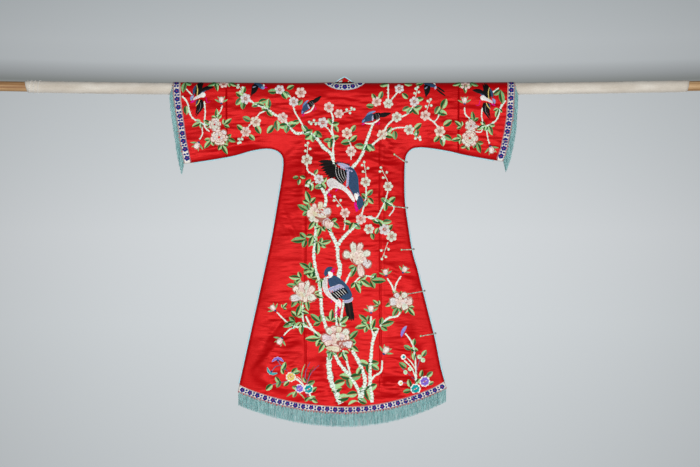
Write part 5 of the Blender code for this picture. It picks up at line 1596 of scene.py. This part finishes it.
def tones(low, dark, high, light):
    return (low, srgb(*dark)), (high, srgb(*light))


def set_ramp(ramp, stops):
    for element, (position, colour) in zip(ramp.color_ramp.elements, stops):
        element.position = position
        element.color = (*colour, 1)


def cord_material(name, dark, light, roughness, scale, depth):
    """Plain dyed thread or cord: two close tones streaked by Object place."""
    layer = (scale, 3, 0, tones(0.32, dark, 0.68, light), (0.5, depth))
    return new_material(name, srgb(*light), roughness, (layer,), "Object", Sheen_Weight=0.2)


def make_materials():
    """Every finish of the robe and its pole, by name."""
    made = {}
    # long floats across, fine ripples, and a soft sheen
    made["satin"] = new_material(
        "red_silk_satin", srgb(168, 1, 7), 0.36, (
            ((5, 7, 1), 4, 0, tones(0.30, (160, 1, 5), 0.72, (176, 3, 10)), None),
            ((26, 190, 1), 3, 0.4, None, (0.35, 0.0012)),
            ((60, 1400, 1), 2, 0, shade(0.3, (0.84, 0.84, 0.84), 0.7), (0.25, 0.0003))),
        gloss=(0.34, 0.42), Specular_IOR_Level=0.9, Specular_Tint=(1, 0.06, 0.06, 1))
    # each strip's own colour, with painted shade between its threads: darker streaks along them and darker
    # patches
    made["floss"] = new_material(
        "silk_floss", (0.8, 0.8, 0.8), 0.50, (
            ((120, 1700, 1), 2, 0, shade(0.32, (0.62, 0.60, 0.60), 0.62), (0.6, 0.0005)),
            ((190, 190, 1), 2, 0, shade(0.37, (0.66, 0.64, 0.62), 0.47), None)),
        "Thread", Specular_IOR_Level=0.05)
    # cream, darker by stretches, with a fine rib
    made["woven"] = new_material(
        "cream_woven_ribbon", srgb(214, 206, 204), 0.6, (
            ((9, 4, 1), 1, 0, tones(0.46, (214, 210, 196), 0.66, (236, 232, 226)), None),
            ((900, 1400, 1), 1, 0, shade(0.3, (0.80, 0.80, 0.80), 0.7), (0.5, 0.0004))),
        Sheen_Weight=0.15)
    for key, *row in CORDS:
        made[key] = cord_material(*row)
    # bare softwood: grain along the pole, and pale streaks
    made["wood"] = new_material(
        "bare_pine", srgb(196, 156, 110), 0.55, (
            ((2.2, 95, 95), 5, 0.6, tones(0.34, (150, 104, 62), 0.64, (214, 178, 132)),
             (0.25, 0.0010)),
            ((14, 600, 600), 3, 0, shade(0.35, (0.78, 0.76, 0.74), 0.62), (0.3, 0.0004))),
        "Object")
    # matt, fuzzy, a little soiled
    made["cotton"] = new_material(
        "undyed_cotton", srgb(214, 206, 194), 0.9, (
            ((7, 24, 24), 5, 0, tones(0.30, (200, 190, 176), 0.66, (226, 219, 208)), None),
            ((420, 700, 700), 3, 0, shade(0.3, (0.84, 0.84, 0.84), 0.7), (0.6, 0.0008))),
        "Object", Sheen_Weight=0.35, Sheen_Roughness=0.6)
    return made


# Trim

def piping(name, route, square):
    """A flat covered cord along a route; square is its wide way at each point."""
    turns = np.linspace(0, 2 * math.pi, 11)[:-1]
    rings = (route[:, None, :] + square[:, None, :] * (PIPING_WIDE * np.cos(turns))[:, None]
             + np.array((0, 1, 0)) * (PIPING_THICK * np.sin(turns))[:, None])
    obj = new_piece(name, rings, ring_faces(len(route), len(turns)))
    made = bmesh.new()
    made.from_mesh(obj.data)
    bmesh.ops.recalc_face_normals(made, faces=made.faces)
    made.to_mesh(obj.data)
    made.free()
    return obj


def ring_faces(rows, count):
    """Faces of a bar of rings, with both ends closed."""
    ends = [tuple(range(count))[::-1], tuple(range((rows - 1) * count, rows * count))]
    return grid_faces(rows, count, closed=True) + ends


def upright(flat, y=0.0):
    """Flat points stood up at a depth."""
    return np.column_stack((flat[:, 0], np.broadcast_to(y, len(flat)), flat[:, 1]))


def seam_piping(hand, name):
    seam = respaced(SEAM[hand], 0.006)
    outwards = rightward(seam) * -hand
    cuff_end = abs(cuff_x(hand, seam[0][1])) - CUFF_RIBBON - TRIM_CLEAR
    kept = (np.abs(seam[:, 0]) < cuff_end) & (seam[:, 1] > hem_v(seam[:, 0]) + HEM_RIBBON + TRIM_CLEAR)
    route = upright((seam + outwards * PIPING_OUT)[kept])
    return piping(name, route, upright(outwards[kept]))


def overlap_piping():
    edge = overlap_edge()
    flat = np.vstack((edge, respaced(right_side(), OUTLINE_STEP)[1:]))
    outwards = -rightward(flat)
    moved = flat + outwards * 0.0016
    free = on_cloth(moved[:, 0], moved[:, 1], 1, 0, True)
    sewn = upright(moved, lay(flat[:, 0], flat[:, 1], 1, True)[:, 1])
    route = np.where((np.arange(len(flat)) >= len(edge))[:, None], sewn, free)
    kept = route[:, 2] > hem_v(route[:, 0]) + HEM_RIBBON + TRIM_CLEAR
    return piping("overlap_edge_piping", route[kept], upright(outwards)[kept])


def into_ball(cord, bend, ball):
    """A cord that goes on round a bend and ends inside the ball."""
    gap = bend - ball
    return np.vstack((cord, bend, ball + gap / np.linalg.norm(gap) * BUTTON_RADIUS * 0.8))


def side_fastening(edge_v, reach_x, reach_v):
    """Ball, loop and knot cord of one fastening down the right side."""
    edge = np.array((float(side_x(1, edge_v)), edge_v))
    below = np.array((float(side_x(1, edge_v - 0.02)), edge_v - 0.02))
    along = (below - edge) / np.linalg.norm(below - edge)
    out = np.array((-along[1], along[0]))

    def beyond(distance, y):
        spot = edge + out * distance
        return np.array((spot[0], y, spot[1]))

    ball = beyond(BUTTON_OUT, 0)
    shares = np.array((1, 0.85, 0.68, 0.5, 0.34, 0.2, 0.1, 0.03))
    loop = on_cloth(edge[0] + reach_x * shares, edge_v + reach_v * shares, -1, CORD_LAY)
    knot = on_cloth(edge[0] - FRONT_CORD[0] * shares, edge_v - FRONT_CORD[1] * shares, 1, CORD_LAY, True)
    return (ball, into_ball(loop, beyond(*LOOP_BEND), ball), into_ball(knot, beyond(*KNOT_BEND), ball))


def curve_fastening(share, length):
    """Ball, loop and knot cord of one fastening on the overlap's curve."""
    curve = smooth_line(OVERLAP_TABLE, 6)
    i = round(share * (len(curve) - 1))
    edge, out = curve[i], -rightward(curve)[i]

    def spots(distances, height, overlap):
        flat = edge + np.outer(distances, out)
        return on_cloth(flat[:, 0], flat[:, 1], 1, height, overlap)

    ball = spots((BUTTON_OUT,), CLOTH / 2 + BUTTON_RADIUS, False)[0]
    steps = np.array((1, 0.75, 0.5, 0.25, 0.04))
    knot = spots(-length * steps, CORD_LAY, True)
    bend = spots((CURVE_BEND[0],), LAYER + CORD_LAY + CURVE_BEND[1], False)[0]
    loop = spots(CURVE_LOOP_START + length * steps[:-1], CORD_LAY, False)
    return ball, into_ball(loop[:-1], loop[-1], ball), into_ball(knot, bend, ball)


def plies(route, radius, pitch):
    """Two strands twisted round a route."""
    line = respaced(smooth_line(route, 4), CORD_STEP)
    along = unit(np.gradient(line, axis=0))
    side = unit(np.cross(along, (0.3, 0.1, 0.9)))
    up = np.cross(along, side)
    turn = np.arange(len(line)) * CORD_STEP / pitch * 2 * math.pi
    return [line + radius * 0.5 * (side * np.cos(turn + half)[:, None] + up * np.sin(turn + half)[:, None])
            for half in (0, math.pi)]


def ball_knot(centre):
    """The five windings of a knotted ball."""
    turns = np.linspace(0, 2 * math.pi, 19)
    routes = []
    for k in range(5):
        ring = np.column_stack((np.cos(turns), np.sin(turns), 0.28 * np.sin(2 * turns + k)))
        tilted = unit(np.column_stack((ring[:, 0], turned(ring[:, 1:], 36 * k))))
        routes.append(centre + tilted * BUTTON_RADIUS * 0.72)
    return routes


# Pole

def pole_piece():
    """The bare pole, with eased edges and slight dents."""
    low, high = POLE_ENDS
    square_low, square_high = low + POLE_SQUARE, high - POLE_SQUARE
    middle = np.arange(square_low, square_high, 0.03)[1:]
    x = np.concatenate(((low, low + 0.0015, square_low), middle,
                        (square_high, high - 0.0015, high)))[:, None]
    scale = np.ones(x.shape)
    scale[[0, -1]] = 0.93
    turns = np.linspace(0, 2 * math.pi, 49)[:-1]
    dents = 0.00022 * lumps(x, 0.02 * np.sin(turns), 0.06, 0.012, 71) - 0.0002
    axis = pole_lift(np.clip(x, square_low, square_high))
    points = round_pole(x, turns, (POLE_RADIUS + dents) * scale, axis)
    obj = new_piece("pole_turned", points, ring_faces(len(x), len(turns)))
    obj.data.set_sharp_from_angle(angle=math.radians(40))
    return obj


def round_pole(x, turns, radius, axis):
    """Points of a round bar along x."""
    y = radius * np.cos(turns)
    z = axis + radius * np.sin(turns)
    return np.stack((np.broadcast_to(x, y.shape), y, z), axis=-1)


def wrap_piece():
    """Cotton wound on the pole, with slanted ends and wrinkles."""
    turns = np.linspace(0, 2 * math.pi, 57)[:-1]
    share = np.linspace(0, 1, 240)[:, None]
    low = WRAP_ENDS[0] + WRAP_SLANT[0] * (1 - np.sin(turns)) / 2
    high = WRAP_ENDS[1] - WRAP_SLANT[1] * (1 - np.sin(turns + 0.6)) / 2
    x = low + (high - low) * share
    wound = 0.00035 * np.sin((x / 0.058 * 2 * math.pi) - turns)
    wrinkles = 0.00030 * lumps(x, 0.02 * np.sin(turns) + 0.013 * np.cos(turns), 0.022, 0.009, 83)
    shown = np.clip((np.abs(x) - 0.69) / 0.02, 0, 1)
    radius = WRAP_RADIUS - 0.0004 + (wound + wrinkles) * shown
    points = round_pole(x, turns, radius, pole_lift(x))
    obj = new_piece("pole_cotton", points, grid_faces(*x.shape, closed=True))
    return thicken(obj, WRAP_WALL, -1)


def yarn_route():
    per_turn = 24
    count = int(YARN_TURNS * per_turn) + 1
    k = np.arange(count)
    turn = 2 * math.pi * k / per_turn
    x = WRAP_ENDS[0] + 0.009 + YARN_PITCH * k / per_turn
    radius = WRAP_RADIUS + YARN_RADIUS * 0.8 + 0.0012 * np.exp(-((k - 40) / 5) ** 2)
    return np.column_stack((x, radius * np.sin(turn), pole_lift(x) + radius * np.cos(turn)))


# Camera, stage and light

def camera_and_stage():
    scene = bpy.context.scene
    data = bpy.data.cameras.new("camera")
    data.sensor_width = SENSOR
    data.lens = SENSOR * CAMERA_AWAY / VIEW_WIDTH
    camera = in_scene("camera", data)
    camera.location = (VIEW_CENTRE[0], -CAMERA_AWAY, VIEW_CENTRE[1])
    camera.rotation_euler = (math.radians(90), 0, 0)
    scene.camera = camera
    scene.view_settings.view_transform = "Standard"

    corners = [(x, y, FLOOR_Z) for x, y in ((-3, -1.5), (3, -1.5), (3, 1.5), (-3, 1.5))]
    floor = new_piece("studio_floor", corners, ((0, 1, 2, 3),))
    floor.data.materials.append(new_material("pale_floor", srgb(196, 199, 202), 0.9))

    for name, place, size, power, colour in LIGHTS:
        light = bpy.data.lights.new(name, "AREA")
        light.shape = "DISK"
        light.size = size
        light.energy = power
        light.color = colour
        lamp = in_scene(name, light)
        lamp.location = place
        aim = Vector(LIGHTS_AIM) - Vector(place)
        lamp.rotation_euler = aim.to_track_quat("-Z", "Y").to_euler()
    scene.world = backdrop()


def backdrop():
    """A grey studio round the robe: what the camera sees behind it, and a plain soft light.

    The camera sees a painted gradient of light and shade by the height of its ray, with a
    painted shadow band just above the pole, and painted shade that darkens it towards both sides.
    """
    world = bpy.data.worlds.new("studio")
    world.use_nodes = True
    tree = world.node_tree
    split = node(tree, "SeparateXYZ", {0: node(tree, "TexCoord").outputs["Generated"]}).outputs
    low, high = BACKDROP[0][0], BACKDROP[-1][0]
    height = node(tree, "MapRange", {"Value": split["Z"], "From Min": low, "From Max": high})
    ramp = node(tree, "ValToRGB", {"Fac": height})
    for _ in BACKDROP[2:]:
        ramp.color_ramp.elements.new(0.5)
    set_ramp(ramp, [((z - low) / (high - low), srgb(*colour)) for z, *colour in BACKDROP])
    # painted shade: the backdrop seen by the camera darkens towards both sides
    across = node(tree, "Math", {0: split["X"], 1: 2}, operation="POWER")
    dim = node(tree, "Math", {0: across, 1: -BACKDROP_PAINTED_SHADE_FALLOFF, 2: 1}, operation="MULTIPLY_ADD")
    held = node(tree, "Math", {0: dim, 1: BACKDROP_DARKEST_PAINTED_SHADE}, operation="MAXIMUM")
    seen = node(tree, "VectorMath", {0: ramp, "Scale": held}, operation="SCALE")
    camera_ray = node(tree, "LightPath").outputs["Is Camera Ray"]
    chosen = node(tree, "Mix", {"Factor": camera_ray, 6: (*AMBIENT, 1), 7: seen}, data_type="RGBA")
    tree.links.new(chosen.outputs[2], tree.nodes["Background"].inputs["Color"])
    return world


# The robe

def main():
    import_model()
    camera_and_stage()
    finish = make_materials()
    made = {}

    def settle(obj, node_name=None, material=None):
        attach(obj, "root")
        if node_name:
            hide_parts(node_name)
        if material:
            obj.data.materials.append(finish[material])
        made[obj.name] = obj

    cuts = {"back_satin": back_outline(), "overlap_satin": overlap_outline(),
            "under_satin": under_outline()}
    over_cut = cuts["overlap_satin"]
    for (name, cut), side, piece in zip(cuts.items(), (-1, 1, 1), ("back", "front_overlap", "front_under")):
        settle(panel(name, cut, side, name == "overlap_satin"), piece, "satin")
    for hand, name in HANDS:
        settle(sleeve_end(hand, "sleeve_satin_" + name), "sleeve_" + name, "satin")
        settle(cuff_ribbon(hand, "cuff_woven_" + name), "cuff_ribbon_" + name, "woven")
    for side, face in SIDES:
        settle(hem_ribbon("hem_woven_" + face, side), "hem_ribbon_" + face, "woven")
    settle(neck_ribbon(), "neck_ribbon", "woven")

    for side, face in SIDES:
        work = Stitching(side, RIBBON_FACE, over_cut if side > 0 else None)
        ribbon_pattern(work, hem_middle(), HEM_RIBBON, 0.032, ((-0.41, "pink"), (0.41, "pink")))
        for hand, _ in HANDS:
            ribbon_pattern(work, cuff_middle(hand), CUFF_RIBBON, 0.034,
                           ((-0.41 * hand, "pink"), (0.41 * hand, "pink")))
        if side < 0:
            middle = neck_arc(np.linspace(0.10, math.pi - 0.10, 60), 0.68)
            ribbon_pattern(work, np.column_stack(middle), 0.026, 0.030, ((0.44, "sky"),))
        settle(work.piece("ribbon_weave_" + face, finish["floss"]))
    for side, face in SIDES:
        work = Stitching(side, CLOTH / 2, over_cut if side > 0 else None, stitch_limits(side))
        embroider(work)
        settle(work.piece("embroidery_" + face, finish["floss"]))
    settle(corner_stitches(over_cut).piece("embroidery_corner", finish["floss"]))

    strands = strand_tree()
    beads = bead_tree()

    def fringe(kind, roots, knot_shift, knot_radius, seed, knot_seed, **sizes):
        settle(grow(kind % "threads", strands, (roots,), finish["fringe"], Radius=0.00052,
                    Scatter=0.0009, Seed=seed, **sizes), kind % "fringe")
        settle(grow(kind % "knots", beads, (roots + knot_shift,), finish["heading"], Pitch=0.0115,
                    Radius=knot_radius, Seed=knot_seed))

    for side, face in SIDES:
        x = np.linspace(SEAM[-1][-1][0] + 0.002, SEAM[1][-1][0] - 0.002, 200)
        roots = lay(x, hem_v(x), side, side > 0) + (0, 0, -0.0012)
        fringe("hem_%s_" + face, roots, (0, side * 0.0012, -0.0010), 0.0026, 5 + side, 9 + side,
               Length=0.0545, Pitch=0.0009, Wave=0.0055, Lean=0.0)
        for hand, name in HANDS:
            v = np.linspace(0.012, CUFF_TABLE[hand][-1][1] + 0.004, 90)
            roots = lay(cuff_x(hand, v), v, side) + (hand * 0.0012, 0, 0)
            fringe("cuff_%s_" + name + "_" + face, roots, (hand * 0.0008, 0, 0), 0.0020,
                   21 + side + hand, 31 + side + hand, Length=0.047, Pitch=0.0011, Wave=0.0050,
                   Lean=-hand * 0.24)

    for hand, name in HANDS:
        settle(seam_piping(hand, "seam_piping_" + name), "piping_" + name, "piping")
    settle(overlap_piping(), "piping_overlap", "piping")

    cords = cord_tree()
    rows = [side_fastening(*row) for row in SIDE_FASTENINGS]
    rows += [curve_fastening(*row) for row in CURVE_FASTENINGS]
    for index, (ball, loop, knot) in enumerate(rows, 1):
        for route, label in ((loop, "loop_%d"), (knot, "knot_cord_%d")):
            settle(grow("twisted_" + label % index, cords, plies(route, CORD_RADIUS, 0.005),
                        finish["cord"], Step=CORD_STEP, Radius=CORD_RADIUS * 0.52, Sides=8),
                   label % index)
        settle(grow("ball_knot_%d" % index, cords, ball_knot(ball), finish["knot"], Step=0.001,
                    Radius=0.0012, Sides=8), "button_%d" % index)

    settle(pole_piece(), "pole", "wood")
    settle(wrap_piece(), "pole_wrap", "cotton")
    settle(grow("yarn_turns", cords, plies(yarn_route(), YARN_RADIUS, 0.006), finish["yarn"],
                Step=0.0015, Radius=YARN_RADIUS * 0.6, Sides=8), "wrap_yarn")

    declare_sheets(made, cuts)


def stitch_limits(side):
    """Where stitches may go: on the cloth, off the ribbons and clear of seams and free edges.

    It is worked out once on a fine grid, and looked up there.
    """
    step, clear = 0.0015, 0.003
    low = np.array((-0.70, -1.33))
    xs, vs = np.arange(low[0], 0.70, step), np.arange(low[1], FOLD_TOP + 0.01, step)
    x, v = np.meshgrid(xs, vs)
    cuff = np.where(x < 0, -cuff_x(-1, v), cuff_x(1, v))
    good = (np.abs(x) < cuff - CUFF_RIBBON - clear) & (v < FOLD_TOP - 0.002)
    good &= v > hem_v(x) + HEM_RIBBON + 0.001
    good &= inside(np.vstack((SEAM[-1], [(-0.45, -1.4), (0.45, -1.4)], SEAM[1][::-1],
                              [(0.8, 0.1), (-0.8, 0.1)])), x, v)
    for hand in (-1, 1):
        good &= distance_to(SEAM_COARSE[hand], x, v) > clear
    across = (x - NECK_X) / (NECK_RIBBON_HALF + clear)
    down = (FOLD_TOP - v) / (NECK_RIBBON_DROP + clear)
    good &= across * across + down * down > 1
    if side > 0:
        good &= distance_to(overlap_edge(), x, v) > 0.008

    def allowed(x, v):
        column = np.clip(np.round((x - low[0]) / step).astype(int), 0, len(xs) - 1)
        row = np.clip(np.round((v - low[1]) / step).astype(int), 0, len(vs) - 1)
        return good[row, column]

    return allowed


def declare_sheets(made, cuts):
    """Work out what each cloth piece was cut to and what is sewn to it; the results are not kept."""
    def sheet(area=None, sewn=()):
        more = {"area": area} if area else {}
        if sewn:
            more["with_pieces"] = [made[piece] for piece in sewn]

    for name, cut in cuts.items():
        face = {"back_satin": "back", "overlap_satin": "front"}.get(name)
        sewn = [kind + face for kind in ("embroidery_", "ribbon_weave_", "hem_woven_", "hem_threads_")
                ] if face else []
        if face == "back":
            sewn.append("neck_ribbon_woven")
        sheet(area_of(cut), sewn)
    for hand, name in HANDS:
        sheet(sewn=["cuff_threads_%s_%s" % (name, face) for _, face in SIDES])
        sheet()
    sheet()
    sheet()
    sheet(math.pi / 2 * (NECK_RIBBON_HALF * NECK_RIBBON_DROP - NECK_HALF * NECK_DROP))
    sheet()


main()
